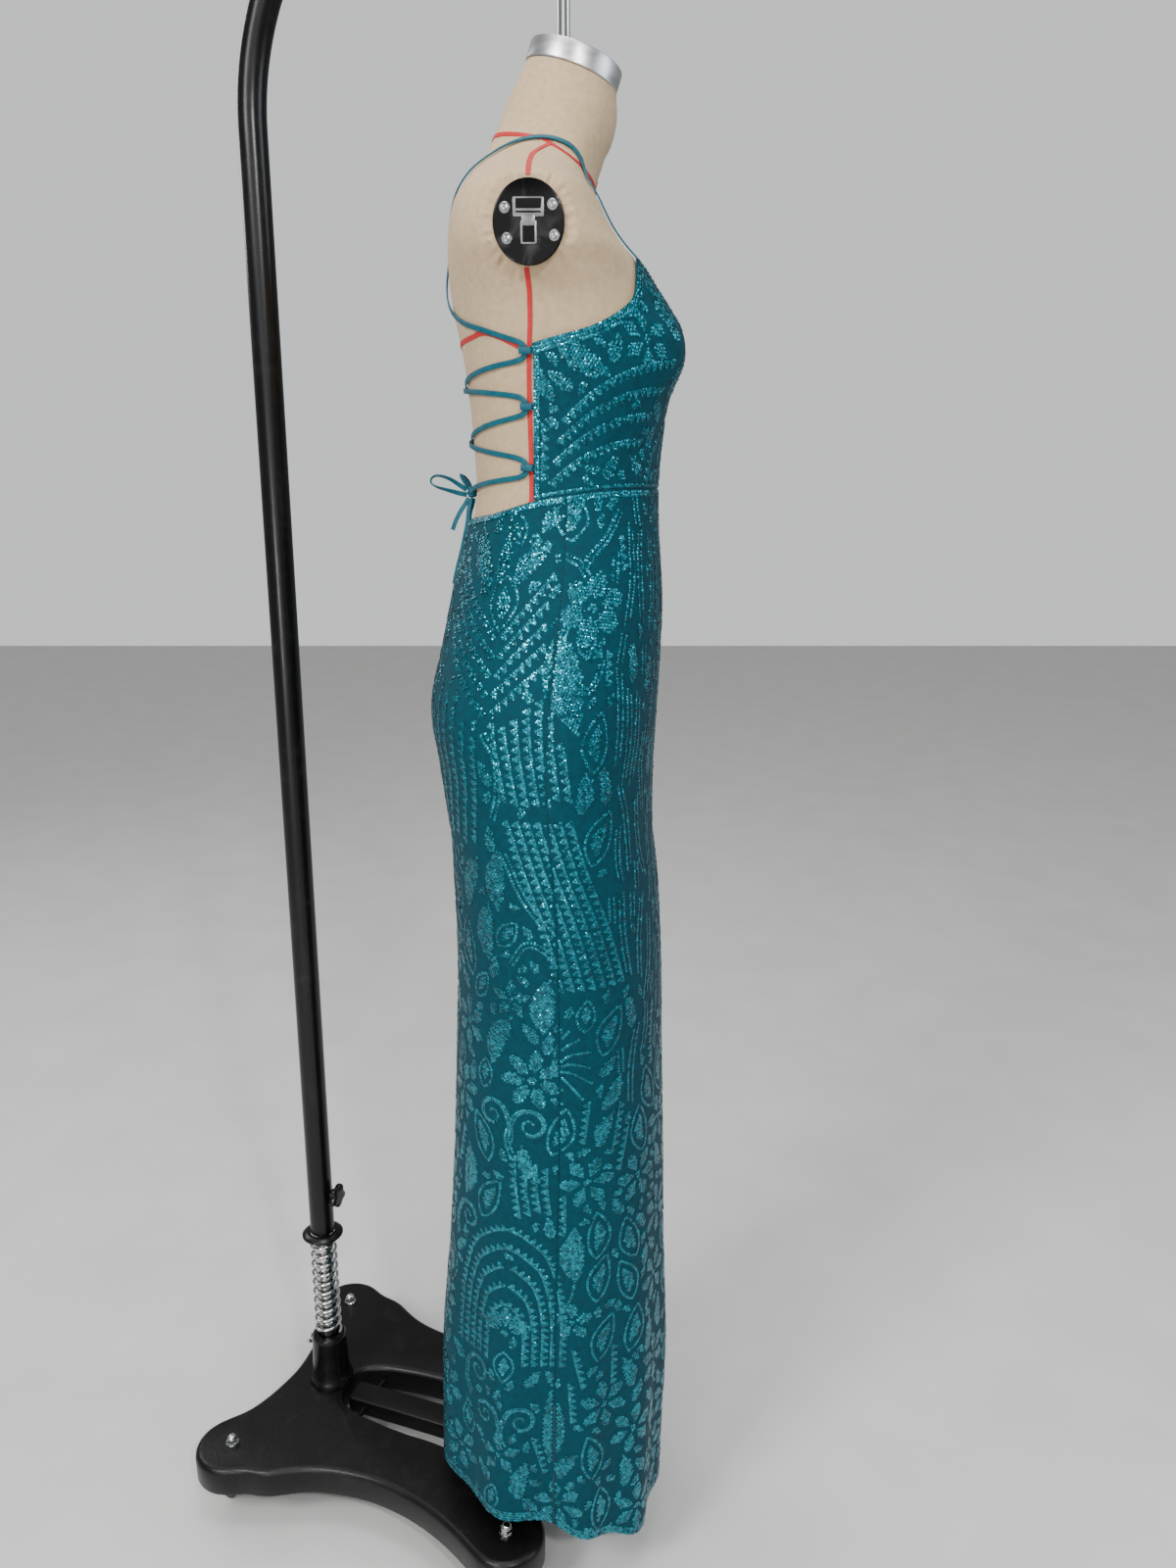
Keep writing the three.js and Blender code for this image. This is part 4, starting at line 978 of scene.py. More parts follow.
    def strap_rows(self, side: int) -> np.ndarray:
        """Turn, height and lift of one strap lace all the way from its shoulder to the bow."""
        rows = [(side * turn, z, lift + (self.crossing(side * turn) if side > 0 else 0))
                for turn, z, lift in self.route]
        for index, z in enumerate(self.tab_heights):
            here = -side if index % 2 else side
            for turn, height, lift in self.tab_rows(here, z):
                rows.append((turn + round((rows[-1][0] - turn) / 360) * 360, height, lift))
            last = rows[-1]
            more = index + 1 < len(self.tab_heights)
            if more:
                below = self.tab_heights[index + 1]
                turn = -here * self.behind_edge(below, self.run_start)
                goal = below + self.run_drop
                stops = self.run_stops
            else:
                turn = here * (180 - self.bow_side)
                goal = self.bow_height + self.bow_rise
                stops = self.bow_stops
            turn += round((last[0] - turn) / 360) * 360
            over = more and (side > 0) == (index % 2 == 1)
            for k in range(1, stops if more else stops + 1):
                share = k / stops
                at = last[0] + (turn - last[0]) * share
                extra = 0 if more else (self.bow_lift_in - self.run_lift) * share**3
                lift = self.run_lift + (self.crossing(at) if over else 0) + extra
                rows.append((at, last[1] + (goal - last[1]) * share, lift))
        return np.array(rows)

    def build_strap(self, side: Side) -> None:
        """Makes one strap lace as a pressed tube that follows the body."""
        rows = self.strap_rows(side.value)
        route = FIGURE_SURFACE.off(rows[:, 0], rows[:, 1], rows[:, 2])
        path, outward = laid(route, FIGURE_SURFACE.normal(rows[:, 0], rows[:, 1]), self.step)
        other = "left" if side is Side.RIGHT else "right"
        self.shop.piece(f"strap_{other}", ribbon(path, outward, self.width, self.thick), LACE_SATIN,
                        Body.COLUMN, "gown_lace", [f"strap_lace_{other}"], sharp=60)

    def build_tab(self, side: Side, index: int, z: float) -> None:
        """Makes one folded tab, a flat tunnel with soft edges."""
        turn = self.behind_edge(z, self.tab_middle()) * side.value
        middle = FIGURE_SURFACE.off(np.array(turn), np.array(z), self.tab_lift)
        out = FIGURE_SURFACE.normal(np.array(turn), np.array(z))
        up = unit(np.array([0.0, 0.0, 1.0]) - out * out[2])
        forward = np.cross(out, up)
        angle = circle(36)

        def outline(half: float, deep: float) -> Points:
            return np.column_stack([deep * np.cos(angle) + (half - deep) * np.sign(np.cos(angle)),
                                    deep * np.sin(angle)])

        wall = self.tab_wall
        half_high = self.tab_height / 2
        rows = [(0.0, -half_high + 0.4), (0.0, half_high - 0.4), (0.35, half_high),
                (wall - 0.35, half_high),
                (wall, half_high - 0.4), (wall, 0.4 - half_high), (wall - 0.35, -half_high),
                (0.35, -half_high)]
        rings = []
        for draw, high in rows:
            flat = outline(self.tab_length / 2 - draw, self.tab_depth / 2 - draw)
            rings.append(middle + flat[:, :1] * forward + flat[:, 1:] * out + high * up)
        self.shop.piece(f"tab_{side.word}_{index}", hoop(np.array(rings)), LACE_SATIN, Body.COLUMN,
                        "gown_lace",
                        [f"loop_tab_{side.word}_{index}"], sharp=60)

    def build_knot(self) -> None:
        """Makes the knot: a ball drawn in at both ends, with three soft wraps of the lace round it."""
        centre = FIGURE_SURFACE.off(np.array(180.0), np.array(self.bow_height), self.bow_lift)
        v = np.linspace(-1, 1, 25)[:, None]
        angle = circle(36)[None, :]
        size = np.sqrt(np.maximum(1 - (np.abs(v) * 0.86) ** 2.6,
                                  0.0)) * (1 + 0.07 * np.cos(7.5 * v + 1.2 * np.sin(angle)))
        across, deep, high = self.knot
        rings = np.stack([centre[0] + size * np.cos(angle) * across * 0.56,
                          centre[1] + size * np.sin(angle) * deep * 0.56,
                          centre[2] + v * high / 2 + 0 * angle], axis=-1)
        self.shop.piece("knot", tube(rings), LACE_SATIN, Body.COLUMN, "gown_lace", ["bow_knot"], sharp=60)

    def build_bow_cord(self, name: str) -> None:
        route = np.array(self.bow_routes[name], float)
        path = along(route, 1.2)
        forward = tangents(path)
        loop = name.startswith("bow_loop")
        t = np.linspace(0, 1, len(path))[:, None]
        if loop:
            face = unit(np.array([-1, 0.1, 0]) if name == "bow_loop_out" else np.array([-0.5, -0.9, 0]))
            outward = np.cos(np.pi * t) * face + np.sin(np.pi * t) * unit(np.cross(face, forward))
        else:
            outward = unit(np.array([-0.85, 0.5, 0.1]) + 0 * path)
        item = self.shop.piece(name.replace("bow_", ""),
                               ribbon(path, outward, self.width, self.thick, sides=12),
                               LACE_SATIN, Body.COLUMN, "gown_lace", [name], sharp=60)
        placed = self.shop.place(path)

    def build(self) -> None:
        """Makes the cords of the bow first, then the rest of the lacing."""
        for name in self.bow_routes:
            self.build_bow_cord(name)
        self.build_knot()
        for side in Side:
            self.build_strap(side)
            for index, z in enumerate(self.tab_heights, start=1):
                self.build_tab(side, index, z)


# The gown


@dataclass
class Gown:
    """The gown's panels as thin closed shells on their solids' form."""

    shop: Workshop
    side_seam: float = 88.0
    seam_gap: float = 0.09
    half_gap: float = 0.15
    inner: float = 0.5

    def layer(self, layer: float) -> float:
        """Distance off the cloth's inner face for layer 0 or 1."""
        return self.inner + (FIGURE_SURFACE.cloth - self.inner) * layer

    def skirt(self, start: float, end: float) -> Shape:
        """A skirt panel: columns of cloth from the hem up to the waist between two turns."""

        def place(u: np.ndarray, v: np.ndarray, layer: float) -> Points:
            turn = start + (end - start) * u
            hem = hem_at(turn)
            z = hem + (waist_at(turn) - self.half_gap - hem) * v**0.94
            return FIGURE_SURFACE.cloth_at(turn, z, self.layer(layer))

        return panel(126, 116, place)

    def bodice(self) -> Shape:
        """The bodice: from the waist seam up to the neck and armholes, out to its two back edges."""

        def place(u: np.ndarray, v: np.ndarray, layer: float) -> Points:
            share = 2 * u - 1
            top = edge_at(BODICE_TOP, np.abs(share) * BODICE_TOP[-1, 0])
            low = waist_at(share * BODICE_EDGE[0, 1]) + self.half_gap
            z = low + (top - low) * v
            return FIGURE_SURFACE.cloth_at(share * edge_at(BODICE_EDGE, z), z, self.layer(layer))

        return panel(170, 52, place)

    def build(self) -> None:
        seam = self.side_seam - self.seam_gap
        back = self.side_seam + self.seam_gap
        panels = (
            ("skirt_front", self.skirt(-seam, seam), (0.47, 1.22), 0.515, "hung"),
            ("skirt_back", self.skirt(back, 360 - back), (0.48, 1.18), 0.508, "hung"),
            ("bodice_front", self.bodice(), (0.52, 0.225), 0.077, "stretched"),
        )
        for node, shape, flat, area, held in panels:
            item = self.shop.piece(f"{node}_cloth", shape, MESH_CLOTH, Body.COLUMN, "gown_sequin", [node],
                                   sharp=70)


# Sequin work


def inside(outline: Points, at: Points) -> np.ndarray:
    """Whether points lie in a polygon, by counting the edges crossed on the way out."""
    result = np.zeros(len(at), bool)
    for (x0, y0), (x1, y1) in zip(outline, np.roll(outline, -1, axis=0)):
        crosses = (y0 > at[:, 1]) != (y1 > at[:, 1])
        span = (y1 - y0) if y1 != y0 else 1e-9
        result ^= crosses & (at[:, 0] < (x1 - x0) * (at[:, 1] - y0) / span + x0)
    return result


def turned_by(points: Points, angle: float) -> Points:
    """Points of the plane turned by degrees, counter-clockwise."""
    c, s = math.cos(math.radians(angle)), math.sin(math.radians(angle))
    return points @ np.array([[c, s], [-s, c]])


@dataclass
class Motifs:
    """Shapes of the embroidery as clouds of sequin places, in millimetres, +Y up."""

    pitch: float = 3.35

    def fill(self, outline: Points) -> Points:
        """Places on a triangular lattice inside an outline."""
        low, high = outline.min(axis=0), outline.max(axis=0)
        rows = np.arange(low[1] + 0.6, high[1], self.pitch * 0.87)
        columns = np.arange(low[0], high[0] + self.pitch, self.pitch)
        x, y = np.meshgrid(columns, rows)
        x = x + np.where(np.arange(len(rows)) % 2, self.pitch / 2, 0)[:, None]
        at = np.column_stack([x.ravel(), y.ravel()])
        return at[inside(outline, at)]

    def row(self, path: Points) -> Points:
        """Places evenly along a line."""
        chord = distances(path)
        at = np.arange(0, chord[-1], self.pitch)
        return np.column_stack([np.interp(at, chord, path[:, k]) for k in (0, 1)])

    @staticmethod
    def leaf_outline(long: float, wide: float, bend: float = 0.0, belly: float = 0.45) -> Points:
        """A pointed leaf along +Y: half width follows a skewed sine, the spine bows sideways."""
        t = np.linspace(0, 1, 20)
        half = wide / 2 * np.sin(np.pi * t ** (math.log(0.5) / math.log(belly))) ** 0.85
        spine = bend * np.sin(np.pi * t)
        right = np.column_stack([spine + half, long * t])
        return np.concatenate([right, np.column_stack([spine - half, long * t])[::-1]])

    def leaf(self, long: float, wide: float, bend: float = 0.0) -> Points:
        """A filled leaf."""
        return self.fill(self.leaf_outline(long, wide, bend))

    def ringed_leaf(self, long: float, wide: float, bend: float = 0.0) -> Points:
        """A leaf with a filled heart, a bare line round it and a row of sequins at its edge."""
        edge = self.leaf_outline(long, wide, bend)
        heart = self.leaf_outline(long * 0.6, wide * 0.5, bend) + [0, long * 0.2]
        return np.concatenate([self.row(np.vstack([edge, edge[:1]])), self.fill(heart)])

    def flower(self, radius: float, petals: int = 5, wide: float = 0.52, start: float = 0.0,
               arc: float = 360.0) -> Points:
        """Petals set round a centre, each a filled leaf."""
        petal = self.leaf(radius * 0.76, radius * wide) + [0, radius * 0.27]
        heart = np.column_stack([np.cos(circle(10)), np.sin(circle(10))]) * 0.13 * radius
        return np.concatenate([turned_by(petal, start + arc * k / petals) for k in range(petals)]
                              + [self.fill(heart)])

    def spiral(self, radius: float, turns: float = 1.5, tail: float = 0.8) -> Points:
        """A scroll on a stem: its radius shrinks evenly with the angle, doubled by a second row outside."""
        t = np.linspace(0, 1, 60)
        size = radius * (1 - 0.85 * t)
        line = np.column_stack([size * np.cos(2 * np.pi * turns * t), size * np.sin(2 * np.pi * turns * t)])
        stem = np.column_stack([radius * (1 + 0.25 * np.sin(np.linspace(0, np.pi, 12))),
                                np.linspace(-radius * (1 + tail), 0, 12)])
        path = np.vstack([stem, line])
        return np.concatenate([self.row(path), self.row(path[:44] * [1.2, 1.16])])

    def bars(self, long: float, apart: float, bend: float = 0.0) -> Points:
        """Two bowed rows side by side."""
        t = np.linspace(0, 1, 16)
        line = np.column_stack([bend * np.sin(np.pi * t), long * t])
        return np.concatenate([self.row(line - [apart / 2, 0]),
                               self.row(line * [1, 0.86] + [apart / 2, 0.07 * long])])

    def saw(self, long: float, tooth: float = 8.7, bend: float = 0.0) -> Points:
        """A bowed row of teeth."""
        t = np.arange(0, long, tooth)
        cell = np.array([(0, 0), (0, 2.8), (0, 5.6), (2.6, 0.9), (2.6, 3.7), (5.2, 2.1)])
        spots = np.stack([cell[None, :, 0] + bend * np.sin(np.pi * t / long)[:, None],
                          cell[None, :, 1] + t[:, None]],
                         axis=-1)
        return spots.reshape(-1, 2)


@dataclass
class Ground:
    """Which parts of half the gown already carry sequins, on a fine grid of turn and height."""

    cell: float = 2.7
    across: float = 2.45
    pad: int = 24
    taken: np.ndarray = field(default_factory=lambda: np.zeros((640, 230), bool))

    def index(self, at: Points) -> tuple[np.ndarray, np.ndarray]:
        """Row and column of places in the grid."""
        row = np.clip((at[:, 1] / self.cell).astype(int) + 2, 1, self.taken.shape[0] - 2)
        column = np.clip((at[:, 0] * self.across / self.cell).astype(int) + self.pad, 1,
                         self.taken.shape[1] - 2)
        return row, column

    def mark(self, at: Points, margin: int = 1) -> None:
        """Takes the cells round some places."""
        row, column = self.index(at)
        for i in range(-margin, margin + 1):
            for j in range(-margin, margin + 1):
                self.taken[row + i, column + j] = True

    def free(self, at: Points) -> bool:
        """Whether no place falls on a taken cell."""
        return not self.taken[self.index(at)].any()


@dataclass
class SequinWork:
    """Sequins sewn in motifs over the gown, as small closed cups."""

    shop: Workshop
    motifs: Motifs = field(default_factory=Motifs)
    ground: Ground = field(default_factory=Ground)
    size: float = 4.0
    cup: float = 0.45
    lift: float = 0.12
    tilt: float = 0.13
    seam_clear: float = 0.8
    rng: np.random.Generator = field(default_factory=lambda: np.random.default_rng(SEQUIN_SEED))
    places: list[Points] = field(default_factory=list)

    def __post_init__(self) -> None:
        """Reads the cloth's width of a degree once over half the gown."""
        turn, z = np.arange(-10, 192, 2.0), np.arange(60, 1530, 10.0)
        self.arcs = FIGURE_SURFACE.arc(turn[None, :], z[:, None])

    def arc(self, turn: float, z: float) -> float:
        """Millimetres of cloth in a degree near a place."""
        row = min(max(int((z - 60) / 10), 0), self.arcs.shape[0] - 1)
        return float(self.arcs[row, min(max(int((turn + 10) / 2), 0), self.arcs.shape[1] - 1)])

    def placed(self, local: Points, turn: float, z: float, angle: float, mirror: bool) -> Points:
        """A motif's places in turn and height, with +X of the motif towards the back."""
        flat = turned_by(local * ([-1, 1] if mirror else [1, 1]), angle)
        return np.column_stack([turn + flat[:, 0] / self.arc(turn, z), z + flat[:, 1]])

    def add(self, at: Points) -> None:
        """Keeps some places and takes the ground under them."""
        self.places.append(at)
        self.ground.mark(at)

    def put(self, local: Points, turn: float, z: float, angle: float = 0.0, mirror: bool = False) -> None:
        """Sets a motif on the gown at a turn and height, turned counter-clockwise by an angle."""
        self.add(self.placed(local, turn, z, angle, mirror))

    def path(self, route: Sequence[tuple[float, float]]) -> tuple[Points, Points]:
        """A smooth line in turn and height, with the distance in millimetres along it."""
        route = np.array(route, float)
        chord = np.concatenate([[0], np.cumsum(np.hypot(np.diff(route[:, 0]) * 2.4, np.diff(route[:, 1])))])
        dense = cubic_through(chord, route, np.linspace(0, chord[-1], max(int(chord[-1] / 2), 4)))
        arc = FIGURE_SURFACE.arc(dense[:, 0], dense[:, 1])
        steps = np.hypot(np.diff(dense[:, 0]) * (arc[1:] + arc[:-1]) / 2, np.diff(dense[:, 1]))
        return dense, np.concatenate([[0], np.cumsum(steps)])

    def lay(self, route: Sequence[tuple[float, float]], at: Callable[[float], Points]) -> None:
        """Lays places along a line: each has a distance along it and one out to its left.

        Args:
            route: turn and height of points on the line.
            at: gives the places for the line's length.
        """
        dense, chord = self.path(route)
        local = at(chord[-1])
        point = np.column_stack([np.interp(local[:, 0], chord, dense[:, k]) for k in (0, 1)])
        arc = FIGURE_SURFACE.arc(point[:, 0], point[:, 1])
        ahead = np.column_stack([np.interp(local[:, 0] + 1, chord, dense[:, k]) for k in (0, 1)])
        behind = np.column_stack([np.interp(local[:, 0] - 1, chord, dense[:, k]) for k in (0, 1)])
        way = unit(np.column_stack([(ahead[:, 0] - behind[:, 0]) * arc, ahead[:, 1] - behind[:, 1]]))
        out = local[:, 1]
        self.add(point + np.column_stack([-way[:, 1] * out / arc, way[:, 0] * out]))

    def feather(self, route: Sequence[tuple[float, float]], side: int = 1, tooth: float = 8.7) -> None:
        """A toothed row: a small triangle of sequins for each tooth along a line."""
        self.lay(route, lambda long: self.motifs.saw(max(long - 4, 1), tooth)[:, ::-1] * [1, side])

    def stem(self, route: Sequence[tuple[float, float]], double: float = 0.0) -> None:
        """A single row along a line, or two rows a distance apart."""

        def rows(long: float) -> Points:
            at = np.arange(0, long, self.motifs.pitch)
            outs = (-double / 2, double / 2) if double else (0.0,)
            return np.concatenate([np.column_stack([at, np.full(len(at), out)]) for out in outs])

        self.lay(route, rows)

    def hip(self) -> None:
        """The nested chevrons under the back waist, the leaf they hold and the rows that fall below."""
        m = self.motifs
        self.put(m.ringed_leaf(50, 29), 116.5, 1216, 180)
        self.put(m.leaf(58, 19, 3), 113.5, 1208, 44)
        self.put(m.leaf(44, 15, -3), 122, 1212, 8)
        self.put(m.ringed_leaf(30, 19), 117, 1274, 160)
        self.put(m.leaf(26, 13), 104.5, 1258, 170)
        for k in range(5):
            apex, middle, end, left = 1160 - 18 * k, 1189 - 19.4 * k, 1219 - 21 * k, 1178 - 18 * k
            self.feather([(115, apex), (104.3, middle), (92.6, end)], 1)
            self.feather([(117, apex), (126, left), (138, left + 26), (149, left + 62)], -1)
        for k in range(7):
            turn = 112.5 - 5.3 * k
            top = 1074 + (5, 2, 10, 20, 28, 16, -12)[k]
            self.feather([(turn, top), (turn - 1.6, 1050), (turn - 4.6, 1000)], 1)
            self.feather([(turn - 4, 984), (turn - 11, 925), (turn - 20, 860), (turn - 27, 800)], 1)
        for k in range(5):
            self.feather([(121.5 + 6.2 * k, 1064 + 12 * k), (124 + 6.4 * k, 1010), (129 + 6.6 * k, 950)], 1)
        self.stem([(117, 1068), (112, 1046), (112, 1010), (116, 985)], 5)
        self.stem([(112, 948), (103, 900), (90, 862)], 6)
        self.put(m.leaf(70, 24, 6), 118, 886, 8)

    def side_front(self) -> None:
        """The stemmed flowers and the large leaf just in front of the side seam."""
        m = self.motifs
        self.put(m.ringed_leaf(40, 31), 84.5, 1289, 180)
        self.put(m.leaf(26, 13), 94, 1280, 205)
        self.put(m.leaf(34, 15, 3), 78, 1292, 226)
        self.stem([(92, 1233), (86, 1234), (79, 1227), (75, 1216)], 5)
        self.stem([(57, 1276), (65, 1252), (74, 1234), (77, 1222)], 5)
        self.put(m.flower(34, 6, 0.6, 10), 71.5, 1188)
        self.stem([(91, 1172), (86, 1186), (80, 1194)], 0)
        self.stem([(82, 1180), (85, 1156), (80, 1128), (70, 1110), (65.5, 1128), (65, 1140)], 4.4)
        self.stem([(78, 1160), (75.5, 1146), (70, 1140), (65, 1150)], 0)
        self.put(m.flower(15), 69.5, 1152)
        self.put(m.leaf(100, 37, -5), 87.2, 1166, 164)

    def knee(self) -> None:
        """Flowers, scrolls and sprays round the knee."""
        m = self.motifs
        self.put(m.leaf(64, 27, 4), 96, 752, 6)
        self.stem([(112, 830), (104, 852), (94, 846), (86, 824)], 5)
        self.put(m.flower(22), 113, 788)
        self.put(m.flower(36, 7, 0.42, 10), 102, 696)
        for k in range(6):
            swing = math.radians(-20 - 22 * k)
            tip = (90 + 20 * math.sin(swing) * (1 - 0.1 * (k % 2)), 706 + 52 * math.cos(swing))
            self.stem([(92, 706), ((92 + tip[0]) / 2 + 1.5, (706 + tip[1]) / 2 + 8), tip], 0)
        self.put(m.spiral(19), 103, 640)
        self.put(m.spiral(18), 124, 646, 0, True)
        self.put(m.leaf(50, 17, 6), 98, 572, -24)
        for k in range(4):
            self.feather([(111 - 5.6 * k, 600 - 4 * k), (110 - 5.4 * k, 560), (107 - 5 * k, 520 + 4 * k)],
                         1)
        self.put(m.ringed_leaf(66, 28, 4), 138, 800, -6)
        self.put(m.flower(30, 6, 0.46), 142, 742)

    def calf(self) -> None:
        """The fan of toothed arcs with its palmette, and the blooms beside it down to the hem."""
        m = self.motifs
        for k in range(5):
            wide = 27.5 - 4.6 * k
            high = 158 - 24 * k
            base = 350
            for side in (1, -1):
                bow = [(1.0, -14), (0.985, high * 0.4), (0.74, high * 0.78), (0.3, high * 0.95), (0, high)]
                self.feather([(113 + side * wide * w, base + z) for w, z in bow], -side)
        self.put(m.flower(34, 5, 0.42, -72, 180), 113, 376)
        self.put(m.ringed_leaf(38, 24), 113, 350, 180)
        self.put(m.leaf(70, 28, 4), 79, 446)
        self.stem([(79, 446), (81, 424), (85, 408)], 0)
        self.put(m.flower(23), 80, 394)
        self.put(m.leaf(100, 25, -4), 90, 206)
        self.put(m.spiral(18), 104, 262)
        self.put(m.spiral(15), 122, 262, 0, True)
        self.put(m.leaf(54, 21, 5), 105, 156, 12)
        self.put(m.flower(25), 114, 216)

    def bodice(self) -> None:
        """Leaves and toothed rows that sweep from the sides up to the straps."""
        m = self.motifs
        for k in range(4):
            self.feather([(97 - 3 * k, 1304 + 19 * k), (80 - 3 * k, 1326 + 21 * k),
                          (62 - 3 * k, 1340 + 23 * k),
                          (42 - 2 * k, 1346 + 24 * k)], 1, 8)
        self.put(m.leaf(72, 24, 6), 66, 1400, -52)
        self.put(m.leaf(60, 23, 4), 36, 1432, 6)
        self.put(m.flower(28, 6, 0.46), 50, 1432)
        self.put(m.ringed_leaf(48, 24), 22, 1392, 14)
        self.put(m.leaf(44, 18, 3), 92, 1378, -30)
        for k in range(3):
            self.feather([(36 - 11 * k, 1306), (30 - 10 * k, 1336), (18 - 6 * k, 1366)], -1, 8)

    def fill_gaps(self) -> None:
        """Tries motifs at random, the largest first, and keeps those that fall on free ground."""
        m = self.motifs
        blooms = (
            (m.flower(31, 6, 0.46), 160, 180), (m.ringed_leaf(58, 27, 3), 500, 26),
            (m.leaf(66, 25, 6), 500, 30),
            (m.spiral(17), 300, 30), (m.leaf(46, 18, 4), 600, 34), (m.flower(21), 400, 180),
            (m.ringed_leaf(36, 20), 500, 40), (m.saw(52), 700, 16), (m.leaf(30, 13, 2), 900, 50),
            (m.flower(15), 500, 180), (m.leaf(19, 9), 1300, 80), (m.leaf(12, 7), 900, 80),
        )
        lines = (
            (m.bars(96, 7, 4), 1100, 8), (m.saw(70, 8.7, 3), 500, 8), (m.leaf(44, 15, 3), 200, 12),
            (m.bars(58, 6.4, 3), 1400, 10), (m.saw(34), 700, 12), (m.bars(30, 6.4), 1700, 14),
            (m.leaf(16, 7), 1000, 30),
        )
        self.scatter(blooms, (64, 182), (84, 1290))
        self.scatter(blooms, (14, 70), (84, 640), 0.5)
        self.scatter(lines, (-2, 70), (84, 1290))
        self.scatter(blooms, (-2, 104), (1300, 1500), 0.6)

    def scatter(self, kinds: Sequence[tuple[Points, int, float]], turns: tuple[float, float],
                heights: tuple[float, float], share: float = 1.0) -> None:
        """Tries each motif at random places in a band of the gown.

        Args:
            kinds: motifs, each with how often it is tried and how far it leans either way.
            turns: least and greatest turn.
            heights: least and greatest height.
            share: how much of the tries to make.
        """
        for local, tries, swing in kinds:
            count = int(tries * share)
            spots = zip(self.rng.uniform(*turns, count), self.rng.uniform(*heights, count),
                        self.rng.uniform(-swing, swing, count), range(count))
            for turn, z, angle, index in spots:
                at = self.placed(local, turn, z, angle, index % 2 == 0)
                if self.ground.free(at) and self.on_gown(at, 5.0).all():
                    self.add(at)

    def on_gown(self, at: Points, clear: float) -> np.ndarray:
        """Whether places lie on the gown's cloth, at a distance from its edges."""
        turn, z = np.abs(at[:, 0]), at[:, 1]
        waist = waist_at(np.minimum(turn, 180))
        skirt = (z < waist - clear) & (z > hem_at(at[:, 0]) + clear)
        top = edge_at(BODICE_TOP, np.minimum(turn, 100))
        back = edge_at(BODICE_EDGE, np.clip(z, 1280, 1430))
        bodice = (z > waist + clear) & (turn < back - 0.4 * clear) & (z < top - clear)
        return skirt | bodice

    def edges(self) -> Points:
        """Close rows of sequins along the waist, the back opening, the bodice's edges and the hem."""
        turn = np.arange(-180, 180, 1.3)
        rows = [np.column_stack([turn + 0.5 * draw, waist_at(turn) - draw]) for draw in (3.2, 6.2)]
        rows += [np.column_stack([turn + 0.2 * draw, hem_at(turn) + draw])
                 for draw in (1.6, 4.6, 7.8, 11.2)]
        front = np.arange(-104, 104, 1.3)
        rows.append(np.column_stack([front, waist_at(front) + 3.4]))
        top = np.arange(-99, 99, 1.25)
        rows += [np.column_stack([top, edge_at(BODICE_TOP, np.abs(top)) - draw])
                 for draw in (1.6, 4.7, 7.9)]
        z = np.arange(1290, 1426, 2.9)
        rows += [np.column_stack([sign * (edge_at(BODICE_EDGE, z) - draw), z])
                 for sign in (-1, 1) for draw in (0.9, 2.2)]
        return np.concatenate(rows)

    def gather(self) -> Points:
        """All places on both sides, thinned so that no two share a cell."""
        for step in (self.hip, self.side_front, self.knee, self.calf, self.bodice, self.fill_gaps):
            step()
        half = np.concatenate(self.places)
        half = half[(half[:, 0] > 0.2) & (half[:, 0] < 179.8)]
        both = np.concatenate([self.edges(), half, half * [-1, 1]])
        both[:, 0] = (both[:, 0] + 180) % 360 - 180
        seam = np.abs(np.abs(both[:, 0]) - 88) > self.seam_clear
        both = both[(self.on_gown(both, 1.0) | (both[:, 1] < 170)) & (seam | (both[:, 1] > 1300))]
        cells = np.round(np.column_stack([both[:, 0] * 2.45, both[:, 1]]) / 2.35).astype(int)
        _, keep = np.unique(cells, axis=0, return_index=True)
        return both[np.sort(keep)]

    def cups(self, at: Points) -> tuple[Shape, np.ndarray]:
        """Closed hexagonal cups, each tipped a little at random off the cloth.

        Args:
            at: turn and height of each sequin.

        Returns:
            Their shape, and a random tint for each point.
        """
        count = len(at)
        turn, z = at[:, 0], at[:, 1]
        distance = FIGURE_SURFACE.cloth + self.lift
        middle = FIGURE_SURFACE.cloth_at(turn, z, distance)
        round_it = unit(FIGURE_SURFACE.cloth_at(turn + 0.4, z, distance)
                        - FIGURE_SURFACE.cloth_at(turn - 0.4, z, distance))
        up_it = unit(FIGURE_SURFACE.cloth_at(turn, z + 1, distance)
                     - FIGURE_SURFACE.cloth_at(turn, z - 1, distance))
        out = unit(np.cross(up_it, round_it))
        tip = self.rng.normal(0, self.tilt, (count, 2))
        facing = unit(out + tip[:, :1] * round_it + tip[:, 1:] * up_it)
        first = unit(np.cross(up_it, facing))
        second = np.cross(facing, first)
        size = self.size * self.rng.uniform(0.86, 1.06, count) / 2
        angle = circle(6)[None, :] + self.rng.uniform(0, 1, count)[:, None]
        raised = self.rng.uniform(0.0, 0.4, count)[:, None] * facing
        rim = (middle + raised)[:, None] + size[:, None, None] * (
            np.cos(angle)[..., None] * first[:, None] + np.sin(angle)[..., None] * second[:, None])
        top = (middle + raised + facing * self.cup)[:, None]
        points = np.concatenate([top, rim], axis=1).reshape(-1, 3)
        base = (np.arange(count) * 7)[:, None]
        k = np.arange(6)
        fan = np.stack([np.broadcast_to(base, (count, 6)), base + 1 + k, base + 1 + (k + 1) % 6], axis=-1)
        under = base + 1 + k[::-1]
        return Shape(points, [fan.reshape(-1, 3), under]), np.repeat(self.rng.uniform(0, 1, count), 7)

